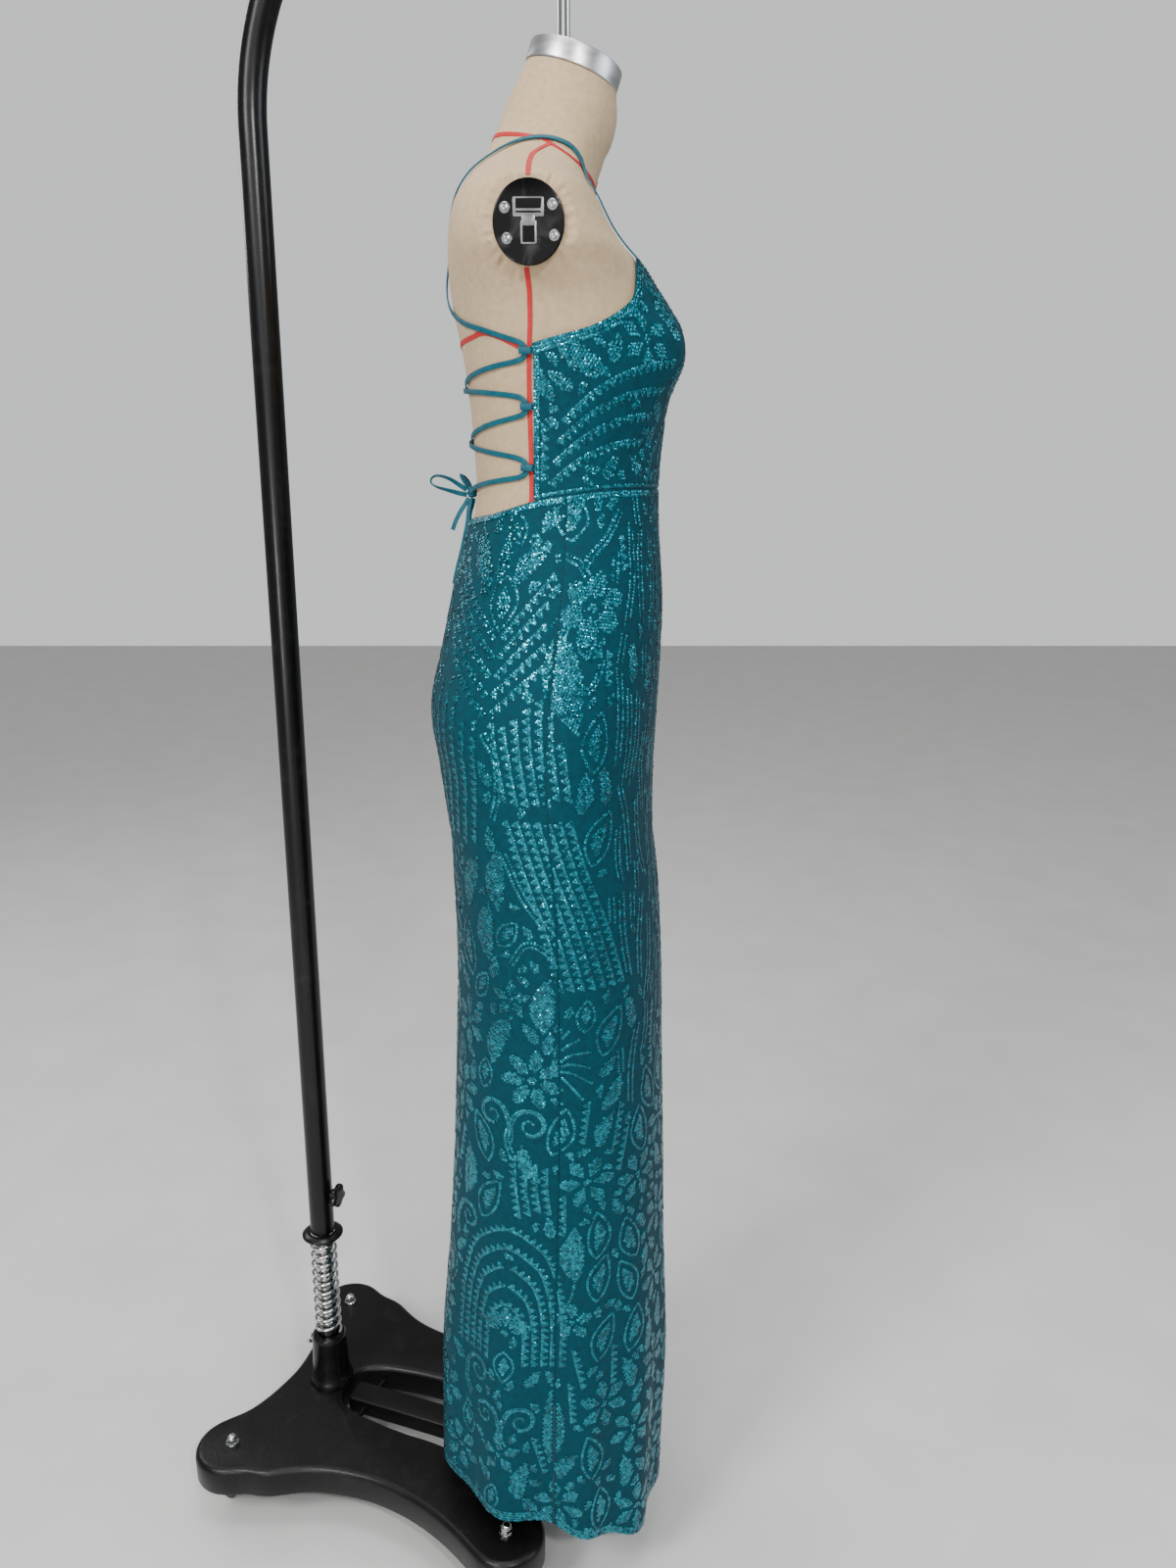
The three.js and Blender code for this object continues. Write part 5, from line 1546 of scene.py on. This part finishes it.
    @staticmethod
    def lay_out(mesh: bpy.types.Mesh, count: int) -> None:
        """Gives each cup two cells of its own in a square map, for its top and its underside."""
        side = math.ceil(math.sqrt(2 * count))
        rim = 0.42 * np.column_stack([np.cos(circle(6)), np.sin(circle(6))])
        fan = np.stack([np.zeros((6, 2)), rim, np.roll(rim, -1, axis=0)], axis=1).reshape(-1, 2)
        cell = np.arange(2 * count)
        corner = np.column_stack([cell % side, cell // side]) + 0.5
        tops = (corner[:count, None] + fan[None]).reshape(-1, 2)
        unders = (corner[count:, None] + rim[::-1][None]).reshape(-1, 2)
        layer = mesh.uv_layers.new(name="OFBake")
        layer.data.foreach_set("uv", (np.concatenate([tops, unders]) / side).astype(np.float32).ravel())

    def build(self) -> None:
        """Makes the sequins of each panel as a few joined meshes."""
        at = self.gather()
        turn, z = at[:, 0], at[:, 1]
        skirt = z < waist_at(turn)
        front = np.abs(turn) < 88
        for side in Side:
            own = turn * side.value > 0
            groups = {f"sequins_skirt_front_{side.word}": skirt & front & own,
                      f"sequins_skirt_back_{side.word}": skirt & ~front & own,
                      f"sequins_bodice_{side.word}": ~skirt & own}
            for name, chosen in groups.items():
                shape, tint = self.cups(at[chosen])
                item = self.shop.piece(name, shape, SEQUIN, Body.COLUMN, "gown_sequin", sharp=8)
                item.data.attributes.new("tint", "FLOAT",
                                         "POINT").data.foreach_set("value", tint.astype(np.float32))
                self.lay_out(item.data, int(chosen.sum()))
        log.info("sequins: %d", len(at))


# The dress form


@dataclass
class DressForm:
    """The padded canvas torso with its tapes, neck cap and arm plates."""

    shop: Workshop
    bottom: float = 945.0
    top: float = 1681.5
    plate_face: float = 163.5
    plate_gap: float = 0.3
    plate_thick: float = 4.0
    plate_across: float = 62.0
    plate_high: float = 70.0
    plate_depth: float = ARM_DEPTH
    plate_height: float = 1520.0
    cap_radius: float = 46.0
    cap_high: float = 19.0
    cap_tilt: float = 17.8
    cap_depth: float = 16.5
    cap_height: float = 1682.0
    rod_hole: float = 9.4
    tape_width: float = 4.6
    tape_thick: float = 0.45
    tape_step: float = 5.0
    tape_lift: float = 0.5
    seams: tuple[float, ...] = (0, 38, 90, 146, 180, 214, 270, 322)

    def pucker(self, points: Points) -> np.ndarray:
        """Small gathers round each arm plate that fade within a few centimetres and lie flat at tapes."""
        y = (points[..., 1] - self.plate_depth) / (self.plate_across / 2)
        z = (points[..., 2] - self.plate_height) / (self.plate_high / 2)
        away = np.hypot(y, z)
        angle = np.arctan2(z, y)
        waves = np.cos(34 * angle + 1.5 * np.sin(3 * angle)) + 0.6 * np.cos(21 * angle + 2)
        near = np.abs(points[..., 0]) > 110
        ring = np.exp(-(((away - 1.16) / 0.17) ** 2))
        held = 1 - np.exp(-((y / 0.28) ** 2))
        return np.where(near, 0.95 * waves * ring * held, 0.0)

    def seam(self, turn: np.ndarray, z: np.ndarray) -> np.ndarray:
        """A shallow groove along each seam of the canvas."""
        groove = np.zeros(np.broadcast(turn, z).shape)
        for place in self.seams:
            away = ((turn - place + 540) % 360 - 180) * 2.2
            groove -= 0.5 * np.exp(-((away / 1.1) ** 2))
        return groove * np.clip((1640 - z) / 40, 0, 1)

    def build_torso(self) -> None:
        """Makes the torso: the body's surface all round, closed flat at the hip and the neck."""
        columns = 252
        turn = -np.arange(columns)[None, :] * (360 / columns)
        z = np.concatenate([np.linspace(self.bottom, 1450, 60), np.linspace(1453, self.top, 100)])[:, None]
        points = FIGURE_SURFACE.point(turn, z)
        relief = self.pucker(points) + self.seam(turn, z)
        relief[[0, -1]] = 0
        points = points + FIGURE_SURFACE.normal(turn, z) * relief[..., None]
        self.shop.piece("torso", tube(points), CANVAS, Body.COLUMN, "canvas", ["form_torso"], sharp=50)

    def tape(self, name: str, rows: Sequence[tuple[float, float]]) -> None:
        """Lays a tape on the canvas along rows of turn and height."""
        table = np.array(rows, float)
        apart = np.concatenate([[0], np.cumsum(np.hypot(np.diff(table[:, 0]) * 2.4, np.diff(table[:, 1])))])
        table = cubic_through(apart, table, np.linspace(0, apart[-1], max(int(apart[-1] / 3.5), 4)))
        route = FIGURE_SURFACE.off(table[:, 0], table[:, 1], self.tape_lift)
        path, outward = laid(route, FIGURE_SURFACE.normal(table[:, 0], table[:, 1]), self.tape_step)
        shape = ribbon(path, outward, self.tape_width, self.tape_thick, sides=8, square=0.3)
        self.shop.piece(name, shape, RED_TAPE, Body.COLUMN, "canvas", sharp=60)

    def build_tapes(self) -> None:
        """Makes the style tapes: neckline, shoulders, sides, back and front lines and the bust line."""
        turns = np.arange(0, 361, 10)
        face = np.cos(np.radians(turns))
        self.tape("tape_neckline", np.column_stack([turns, 1612 - np.where(face > 0, 30, 12) * face]))
        for side in Side:
            s = side.value
            self.tape(f"tape_shoulder_{side.word}", [
                (s * turn, z) for turn, z in ((90, 1557.5), (90, 1568), (89.5, 1578), (88, 1588),
                                              (84, 1598), (79, 1605))])
            self.tape(f"tape_side_{side.word}", [
                (s * turn, z) for turn, z in ((94.2, 1486), (96, 1468), (99.3, 1446), (102.6, 1424),
                                              (105.2, 1400),
                                              (106.8, 1372), (107.8, 1340), (108.6, 1300), (108.9, 1279))])
            self.tape(f"tape_bust_{side.word}", [
                (s * turn, z) for turn, z in ((109, 1424), (118, 1432), (129, 1438), (140, 1436.5),
                                              (150, 1436),
                                              (165, 1436), (179, 1436))])
        self.tape("tape_centre_back", [(180, z)
                                       for z in (1596, 1560, 1520, 1480, 1440, 1400, 1360, 1320, 1290,
                                                 1262)])
        self.tape("tape_centre_front", [(0, z) for z in (1592, 1570, 1545, 1520, 1490, 1462)])

    def build_cap(self) -> None:
        """Makes the neck cap: a brushed disc with a softened rim and a hole for the rod."""
        r, h, hole = self.cap_radius, self.cap_high, self.rod_hole
        profile = [(hole, 0), (r - 1, 0), (r, 1), (r, h - 1.6), (r - 0.5, h - 0.5), (r - 1.6, h),
                   (hole + 1, h),
                   (hole, h - 1)]
        matrix = (Matrix.Translation((0, self.cap_depth, self.cap_height))
                  @ Matrix.Rotation(math.radians(self.cap_tilt), 4,
                                    "X") @ Matrix.Translation((0, 0, self.plate_gap)))
        self.shop.piece("cap", lathe_ring(profile, 96).moved(matrix), ALUMINIUM, Body.COLUMN, "neck_cap",
                        ["neck_cap"], sharp=30)

    def build_plate(self, side: Side) -> None:
        """Makes one arm plate with its screws, latch frame and lever, and flat near-black patches of
        painted shade over the latch's slot and recesses.
        """
        outward = Matrix.Rotation(math.radians(-90), 4, "Y") if side is Side.RIGHT else Matrix.Rotation(
            math.radians(90), 4, "Y")
        start = self.plate_face + self.plate_gap
        base = Matrix.Translation((-side.value * start, self.plate_depth, self.plate_height)) @ outward
        up = side.value
        angle = circle(72)
        ellipse = np.column_stack([self.plate_high / 2 * np.cos(angle),
                                   self.plate_across / 2 * np.sin(angle)])
        plate = slab(ellipse, 0, self.plate_thick, 1.2, 4).moved(base)
        self.shop.piece(f"plate_{side.word}", plate, BLACK_NICKEL, Body.COLUMN, "arm_plate",
                        [f"arm_plate_{side.word}"], sharp=40)
        thick = self.plate_thick

        def fitting(up_at: float, high: float, across: float, low: float, top: float,
                    corner: float) -> Shape:
            """A flat fitting on the plate at a height above its middle."""
            at = base @ Matrix.Translation((up_at * up, 0, thick))
            return slab(rounded_box(high, across, corner), low, top, min(0.4, (top - low) / 3), 2).moved(at)

        frame = [fitting(11.5, 16, 27, -0.6, 1.4, 1.5), fitting(-8.5, 19, 14, -0.6, 0.9, 1.5)]
        # Thin flat patches set above the latch frame and coloured near-black: painted shade where the slot
        # and recesses are, not openings cut in the metal.
        painted_shade = [fitting(14, 8, 22, 1.2, 1.6, 0.8), fitting(7.4, 1.6, 22, 1.2, 1.6, 0.5),
                  fitting(-9.3, 14.5, 10.5, 0.7, 1.1, 1.0)]
        tongue = fitting(0.8, 9, 11.5, 0.2, 1.9, 2.0)
        self.shop.piece(f"latch_frame_{side.word}", joined(frame), LATCH_STEEL, Body.COLUMN, "arm_plate")
        self.shop.piece(f"latch_tongue_{side.word}", tongue, LATCH_STEEL, Body.COLUMN, "arm_plate")
        self.shop.piece(f"latch_hollow_{side.word}", joined(painted_shade), PAINTED_RECESS_SHADE, Body.COLUMN, "arm_plate")
        screws = []
        for x, y in ((11, 20.5), (13.5, -20.5), (-13.5, 19), (-11, -22)):
            head = lathe([(4.7, -0.4), (4.7, 0.5), (4.2, 0.9), (3.3, 0.9), (3.1, 0.5), (2.9, 0.5),
                          (2.8, 1.5),
                          (1.4, 1.8), (1.3, 1.0), (0.2, 0.9)], 32)
            screws.append(head.moved(base @ Matrix.Translation((x * up, y, thick))))
        self.shop.piece(f"plate_screws_{side.word}", joined(screws), SCREW, Body.COLUMN, "bright_steel")

    def build(self) -> None:
        """Makes the whole form."""
        self.build_torso()
        self.build_tapes()
        self.build_cap()
        for side in Side:
            self.build_plate(side)


# The stand


@dataclass
class Stand:
    """The cast base with its castors, and the gallows that carries the form."""

    shop: Workshop
    x: float = 147.2
    y: float = 415.8
    turn: float = -110.05
    post_at: float = 59.0
    post_radius: float = 16.0
    bore: float = 13.6
    post_bottom: float = 326.6
    straight: float = 1675.0
    bend: float = 280.0
    reach: float = 359.0
    spare: float = 34.0
    base_bottom: float = 52.0
    base_top: float = 90.0
    foot: float = 48.0
    edge: float = 8.0
    feet: tuple[tuple[float, float, float], ...] = ((0, -145, 160), (0, 145, 200), (391, -144, 25),
                                                    (391, 144, -40))

    def matrix(self) -> Matrix:
        """Place of the stand's own axes in the gown's axes."""
        return Matrix.Translation((self.x, self.y, 0)) @ Matrix.Rotation(math.radians(self.turn), 4, "Z")

    def at(self, fwd: float, lat: float = 0.0, z: float = 0.0) -> Matrix:
        """A place in the stand's axes."""
        return self.matrix() @ Matrix.Translation((fwd, lat, z))

    def outline(self) -> Points:
        """The base plate's edge: rear notch, rear foot, side, front foot and slot, then mirrored.

        A cubic through the table's points, averaged over its neighbours with bell weights outside the slot.
        """

        def arc(centre: tuple[float, float], start: float, end: float) -> Points:
            angle = np.radians(np.linspace(start, end, 13))
            return np.array(centre) + self.foot * np.column_stack([np.cos(angle), np.sin(angle)])

        rear = np.array([(2, 0), (-1, 32), (-9, 68), (-20, 94)], float)
        side = np.array([(70, 173), (101, 155), (132, 143), (165, 137), (200, 134), (235, 137), (275, 145),
                         (320, 161)])
        slot = np.array([(341, 72), (318, 62), (285, 55), (245, 51), (200, 50), (152, 46), (112, 38),
                         (95, 28), (87, 14)])
        half = np.concatenate([rear, arc((0, 145), 222, 48), side, arc((391, 144), 128, -118), slot,
                               [(85, 0)]])
        whole = np.concatenate([half, half[-2:0:-1] * [1, -1]])
        wrap = 3
        loop = np.concatenate([whole[-wrap:], whole, whole[:wrap + 1]])
        chord = distances(loop)
        at = np.linspace(chord[wrap], chord[-wrap - 1], 401)[:-1]
        edge = cubic_through(chord, loop, at, uneven=True)
        steps = np.arange(-5, 6)
        weights = np.exp(-0.5 * (steps / 1.9) ** 2)
        eased = sum(w * np.roll(edge, k, axis=0) for k, w in zip(steps, weights / weights.sum()))
        share = np.clip((np.abs(edge[:, 1:]) - 84) / 20, 0, 1)
        return edge + (eased - edge) * share

    def build_base(self) -> None:
        """Makes the base: its outline stacked in rings that draw in over a rounded shoulder."""
        outline = self.outline()
        way = np.roll(outline, -1, axis=0) - np.roll(outline, 1, axis=0)
        inward = unit(np.column_stack([way[:, 1], -way[:, 0]]))
        angles = np.linspace(0, np.pi / 2, 6)
        rows = [(self.base_bottom, 3.0), (self.base_bottom + 1, 1.2), (self.base_bottom + 3, 0.3)]
        rows += [(self.base_top - self.edge + self.edge * math.sin(a), self.edge * (1 - math.cos(a)))
                 for a in angles]
        rings = np.array([np.column_stack([outline + inward * draw, np.full(len(outline), z)]) for z,
                          draw in rows])
        self.shop.piece("casting", tube(rings).moved(self.matrix()), CAST_BLACK, Body.BASE, "base_iron",
                        ["base_plate"], sharp=50)
        socket = lathe_ring([(13.1, 111.7), (30, 90.3), (29.6, 95), (28, 98.5), (26.4, 101), (25, 112),
                             (23.8, 135),
                             (23, 158), (22.6, 163), (21, 165), (14.5, 165), (13.1, 163.6)], 64)
        self.shop.piece("post_socket", socket.moved(self.at(self.post_at)), SATIN_BLACK, Body.BASE,
                        "stand_black",
                        ["socket"], sharp=35)
        tube_shape = lathe([(12.2, 112), (12.7, 113), (12.7, 619), (12.2, 620)], 48)
        self.shop.piece("inner_post", tube_shape.moved(self.at(self.post_at)), CHROME, Body.BASE,
                        "bright_steel",
                        ["inner_tube"])
        bolt = joined([lathe([(4, 0), (4, 3.4)], 20),
                       lathe([(7, 3.2), (7.4, 3.8), (7.4, 8.2), (6.6, 9), (2, 9)], 6)])
        at = self.at(self.post_at - 23 - 2.2, 0, 146) @ Matrix.Rotation(-math.pi / 2, 4, "Y")
        self.shop.piece("socket_bolt", bolt.moved(at), CHROME, Body.BASE, "bright_steel", ["set_bolt"],
                        sharp=25)

    def build_spring(self) -> None:
        """Makes the spring: a round wire wound evenly up a circle."""
        radius, wire, turns, low, high = 16.0, 2.0, 10.5, 167.4, 317.9
        t = np.linspace(0, 1, 640)
        angle = 2 * np.pi * turns * t
        path = np.column_stack([radius * np.cos(angle), radius * np.sin(angle), low + (high - low) * t])
        outward = np.column_stack([np.cos(angle), np.sin(angle), np.zeros_like(t)])
        shape = ribbon(path, outward, 2 * wire, 2 * wire, sides=12, square=1.0)
        self.shop.piece("coil_spring", shape.moved(self.at(self.post_at)), CHROME, Body.BASE,
                        "bright_steel",
                        ["spring"], sharp=60)

    def build_pedal(self) -> None:
        """Makes the pedal lever in the slot, with its pin."""
        bar = slab(rounded_box(208, 34, 9), 58, 82, 3).moved(self.at(196))
        pin = lathe([(3.4, -38.6), (4, -38), (4, 38), (3.4, 38.6)], 24).moved(
            self.at(120, 0, 70) @ Matrix.Rotation(math.pi / 2, 4, "X"))
        self.shop.piece("pedal_lever", joined([bar, pin]), CAST_BLACK, Body.PEDAL, "stand_black", ["pedal"],
                        sharp=40)

    def gallows_path(self) -> Points:
        """Middle line of the gallows: straight up, round one bend and out, in the post's axes."""
        up = np.column_stack([np.zeros(10), np.zeros(10), np.linspace(self.post_bottom, self.straight, 10)])
        angle = np.linspace(0, np.pi / 2, 40)[1:]
        arc = np.column_stack([self.bend * (1 - np.cos(angle)), np.zeros(39),
                               self.straight + self.bend * np.sin(angle)])
        out = np.linspace(self.bend, self.reach + self.spare, 6)[1:]
        level = np.column_stack([out, np.zeros(5), np.full(5, self.straight + self.bend)])
        return np.concatenate([up, arc, level])

    def build_gallows(self) -> None:
        """Makes the bent tube, its end cap, the flange collar and the knob."""
        path = self.gallows_path()
        forward = tangents(path)
        side = np.array([0.0, 1.0, 0.0])
        out = np.cross(side, forward)
        angle = circle(48)

        def rings(radius: float, lines: Points, ways: Points) -> Points:
            return lines[:, None] + radius * (np.cos(angle)[None, :, None] * ways[:, None]
                                              + np.sin(angle)[None, :, None] * side)

        wall = np.concatenate([rings(self.bore, path, out)[::-1], rings(self.post_radius, path, out)])
        self.shop.piece("post_tube", hoop(wall).moved(self.at(self.post_at)), SATIN_BLACK, Body.COLUMN,
                        "stand_black",
                        ["gallows_tube"], sharp=40)
        high = self.straight + self.bend
        cap = lathe([(16, 0), (16, 2.6), (15.4, 3.8), (14, 4.6), (11, 5)], 48)
        self.shop.piece("post_cap", cap.moved(self.at(self.post_at + self.reach + self.spare + 0.3, 0, high)
                                              @ Matrix.Rotation(math.pi / 2, 4, "Y")),
                        SATIN_BLACK, Body.COLUMN, "stand_black", ["arm_end_cap"], sharp=30)
        collar = lathe_ring([(16.3, 0), (26.2, 0), (27, 0.8), (27, 2.4), (26.2, 3.2), (22, 5.4), (20.4, 6),
                             (16.3, 6)], 64)
        self.shop.piece("flange", collar.moved(self.at(self.post_at, 0, 320.2)), SATIN_BLACK, Body.COLUMN,
                        "stand_black", ["collar"], sharp=30)
        self.build_knob()
        rod = lathe([(5.4, 1687), (6, 1688), (6, high - 16.3)], 40)
        self.shop.piece("form_rod", rod.moved(self.at(self.post_at + self.reach)), CHROME, Body.COLUMN,
                        "bright_steel", ["hanging_rod"], sharp=40)

    def build_knob(self) -> None:
        """Makes the star knob: rings whose radius swells at five lobes."""
        angle = circle(80)
        star = 14 * (1 + 0.16 * np.cos(5 * angle))
        rows = [(4, 0, 0.0), (4, 5, 0.0), (11.5, 5.4, 0.7), (13.2, 6.2, 0.9), (14, 8, 1.0), (14, 11.5, 1.0),
                (13.2, 13.6, 0.9), (11, 14.8, 0.7), (8, 15, 0.4)]
        rings = []
        for radius, z, lobes in rows:
            size = radius * (1 - lobes + lobes * star / 14)
            rings.append(np.column_stack([size * np.cos(angle), size * np.sin(angle), np.full(80, z)]))
        at = self.at(self.post_at + 16.3, 0, 384) @ Matrix.Rotation(math.pi / 2, 4, "Y")
        self.shop.piece("knob", tube(np.array(rings)).moved(at), SATIN_BLACK, Body.COLUMN, "stand_black",
                        ["star_knob"], sharp=40)

    def build_castor(self, index: int, fwd: float, lat: float, turn: float) -> None:
        """Makes one foot: its domed nut, and the castor's fork and wheel below."""
        nut = joined([lathe([(8.5, 0), (8.5, 1), (8.1, 1.5), (6, 1.5)], 40),
                      lathe([(6.9, 1.4), (7.2, 2), (7.2, 6), (6.5, 6.6), (6.4, 7)], 6),
                      lathe([(6, 6.4), (5.8, 8), (5, 9.6), (3.6, 10.8), (1.6, 11.4)], 32)])
        self.shop.piece(f"foot_nut_{index}", nut.moved(self.at(fwd, lat, 90.3)), CHROME, Body.BASE,
                        "bright_steel",
                        [f"foot_bolt_{index}"], sharp=25)
        own = self.at(fwd, lat) @ Matrix.Rotation(math.radians(turn), 4, "Z")
        plate = lathe([(14, 47.7), (15, 48.3), (15, 51), (14.4, 51.7)], 40)
        axle = lathe([(2.2, -11.8), (2.7, -11.4), (2.7, 11.4), (2.2, 11.8)], 24).moved(
            Matrix.Translation((15, 0, 20)) @ Matrix.Rotation(math.pi / 2, 4, "X"))
        parts = [plate, axle]
        cheek = np.array([(-9, 48.2), (-7, 38), (10, 15.5), (15, 13.6), (20, 15.5), (21, 21), (19, 27),
                          (9, 48.2)])
        for side in (-1, 1):
            middle = Matrix.Translation((0, side * 10.05, 0)) @ Matrix.Rotation(math.pi / 2, 4, "X")
            parts.append(slab(cheek, -1.25, 1.25, 0.5, 2).moved(middle))
        self.shop.piece(f"fork_{index}", joined(parts).moved(own), ZINC, f"castor_{index}", "castor_fork",
                        [f"castor_fork_{index}"], sharp=35)
        spin = own @ Matrix.Translation((15, 0, 20)) @ Matrix.Rotation(math.pi / 2, 4, "X")
        tyre = lathe_ring([(14, -7.4), (18.2, -8), (19.4, -7.2), (20, -5.6), (20, 5.6), (19.4, 7.2),
                           (18.2, 8), (14, 7.4)], 64)
        hub = lathe_ring([(3.2, -7.6), (6, -8), (7, -6.6), (13.6, -6.6), (14, -7.2), (14, 7.2), (13.6, 6.6),
                          (7, 6.6),
                          (6, 8), (3.2, 7.6)], 48)
        self.shop.piece(f"tyre_{index}", tyre.moved(spin), TYRE, f"wheel_{index}", "castor_tyre",
                        [f"castor_wheel_{index}"], sharp=40)
        self.shop.piece(f"hub_{index}", hub.moved(spin), GREY_PLASTIC, f"wheel_{index}", "castor_tyre",
                        sharp=40)

    def build(self) -> None:
        """Makes the whole stand."""
        self.build_base()
        self.build_spring()
        self.build_pedal()
        self.build_gallows()
        for index, (fwd, lat, turn) in enumerate(self.feet, start=1):
            self.build_castor(index, fwd, lat, turn)


# The studio


@dataclass
class Studio:
    """A pale floor, soft light and the camera at the photograph's angle."""

    shop: Workshop
    eye: tuple[float, float, float] = (-1237.4, 0.0, 1290.0)
    pitch: float = 14.0
    focal_pixels: float = 1170.0
    image_height: float = 1600.0
    sensor: float = 36.0
    ambient: float = 0.37
    backdrop: float = 1.1
    lights = (
        ("key", (-2.2, 1.5, 2.9), 0.8, 96, (1, 1, 1)),
        ("camera_fill", (-3.0, 0.4, 1.4), 2.4, 28, (1, 1, 1)),
        ("front_fill", (-0.6, -3.2, 2.2), 1.4, 34, (0.78, 0.89, 1.0)),
        ("back_rim", (1.6, 2.2, 2.6), 1.2, 30, (1, 1, 1)),
        ("top", (-0.4, -0.1, 3.6), 1.0, 34, (1, 1, 1)),
        ("spark_high", (-2.4, -0.9, 2.5), 0.16, 42, (1, 1, 1)),
        ("spark_low", (-2.6, 0.7, 1.0), 0.18, 14, (1, 1, 1)),
    )

    def build_camera(self) -> None:
        """Sets the camera by its height, pitch and focal length in pixels of a 1200 x 1600 frame."""
        data = bpy.data.cameras.new("camera")
        data.sensor_width = self.sensor
        data.lens = self.focal_pixels / self.image_height * self.sensor
        camera = bpy.data.objects.new("camera", data)
        camera.location = self.shop.place(np.array(self.eye))
        camera.rotation_euler = (math.radians(90 - self.pitch), 0, math.radians(-90))
        bpy.context.scene.collection.objects.link(camera)
        bpy.context.scene.camera = camera

    @staticmethod
    def area(name: str, at: tuple[float, float, float], size: float, power: float, colour: Colour) -> None:
        """Adds a square light that faces the gown's middle."""
        light = bpy.data.lights.new(name, "AREA")
        light.size = size
        light.energy = power
        light.color = colour
        item = bpy.data.objects.new(name, light)
        item.location = at
        aim = Vector((-0.08, -0.18, 1.0)) - Vector(at)
        item.rotation_euler = aim.to_track_quat("-Z", "Y").to_euler()
        bpy.context.scene.collection.objects.link(item)

    @staticmethod
    def sky() -> None:
        """Adds a very broad light from above, so that the floor is as pale far off as it is near."""
        light = bpy.data.lights.new("sky", "SUN")
        light.energy = 1.1
        light.angle = math.radians(70)
        item = bpy.data.objects.new("sky", light)
        bpy.context.scene.collection.objects.link(item)

    def build(self) -> None:
        """Makes the floor, the lights and the surrounding light."""
        reach = 9000.0
        points = np.array([(-reach, -reach, 0), (reach, -reach, 0), (reach, reach, 0), (-reach, reach, 0)],
                          float)
        mesh = bpy.data.meshes.new("floor")
        mesh.from_pydata((points * MM).tolist(), [], [(0, 1, 2, 3)])
        floor = bpy.data.objects.new("floor", mesh)
        bpy.context.scene.collection.objects.link(floor)
        floor_finish = Finish("Pale floor", (0.56, 0.555, 0.545), (0.52, 0.515, 0.505), 0.7, bump=0.05)
        mesh.materials.append(self.shop.material(floor_finish))
        for name, at, size, power, colour in self.lights:
            self.area(name, at, size, power, colour)
        self.sky()
        world = bpy.data.worlds.new("studio")
        bpy.context.scene.world = world
        world.use_nodes = True
        tree = world.node_tree
        background = tree.nodes["Background"]
        background.inputs["Color"].default_value = (0.70, 0.71, 0.72, 1)
        sight = tree.nodes.new("ShaderNodeLightPath").outputs["Is Camera Ray"]
        level = add_node(tree, "ShaderNodeMapRange", {
            "To Min": self.ambient, "To Max": self.backdrop, "Value": sight})
        tree.links.new(level.outputs["Result"], background.inputs["Strength"])


def main() -> None:
    """Builds every sub-assembly in order."""
    logging.basicConfig(level=logging.INFO, format="%(name)s %(message)s")
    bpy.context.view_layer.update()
    shop = Workshop()
    studio = Studio(shop)
    studio.build_camera()
    Lacing(shop).build()
    Gown(shop).build()
    SequinWork(shop).build()
    DressForm(shop).build()
    Stand(shop).build()
    studio.build()
    log.info("%d pieces", shop.count)


if __name__ == "__main__":
    main()
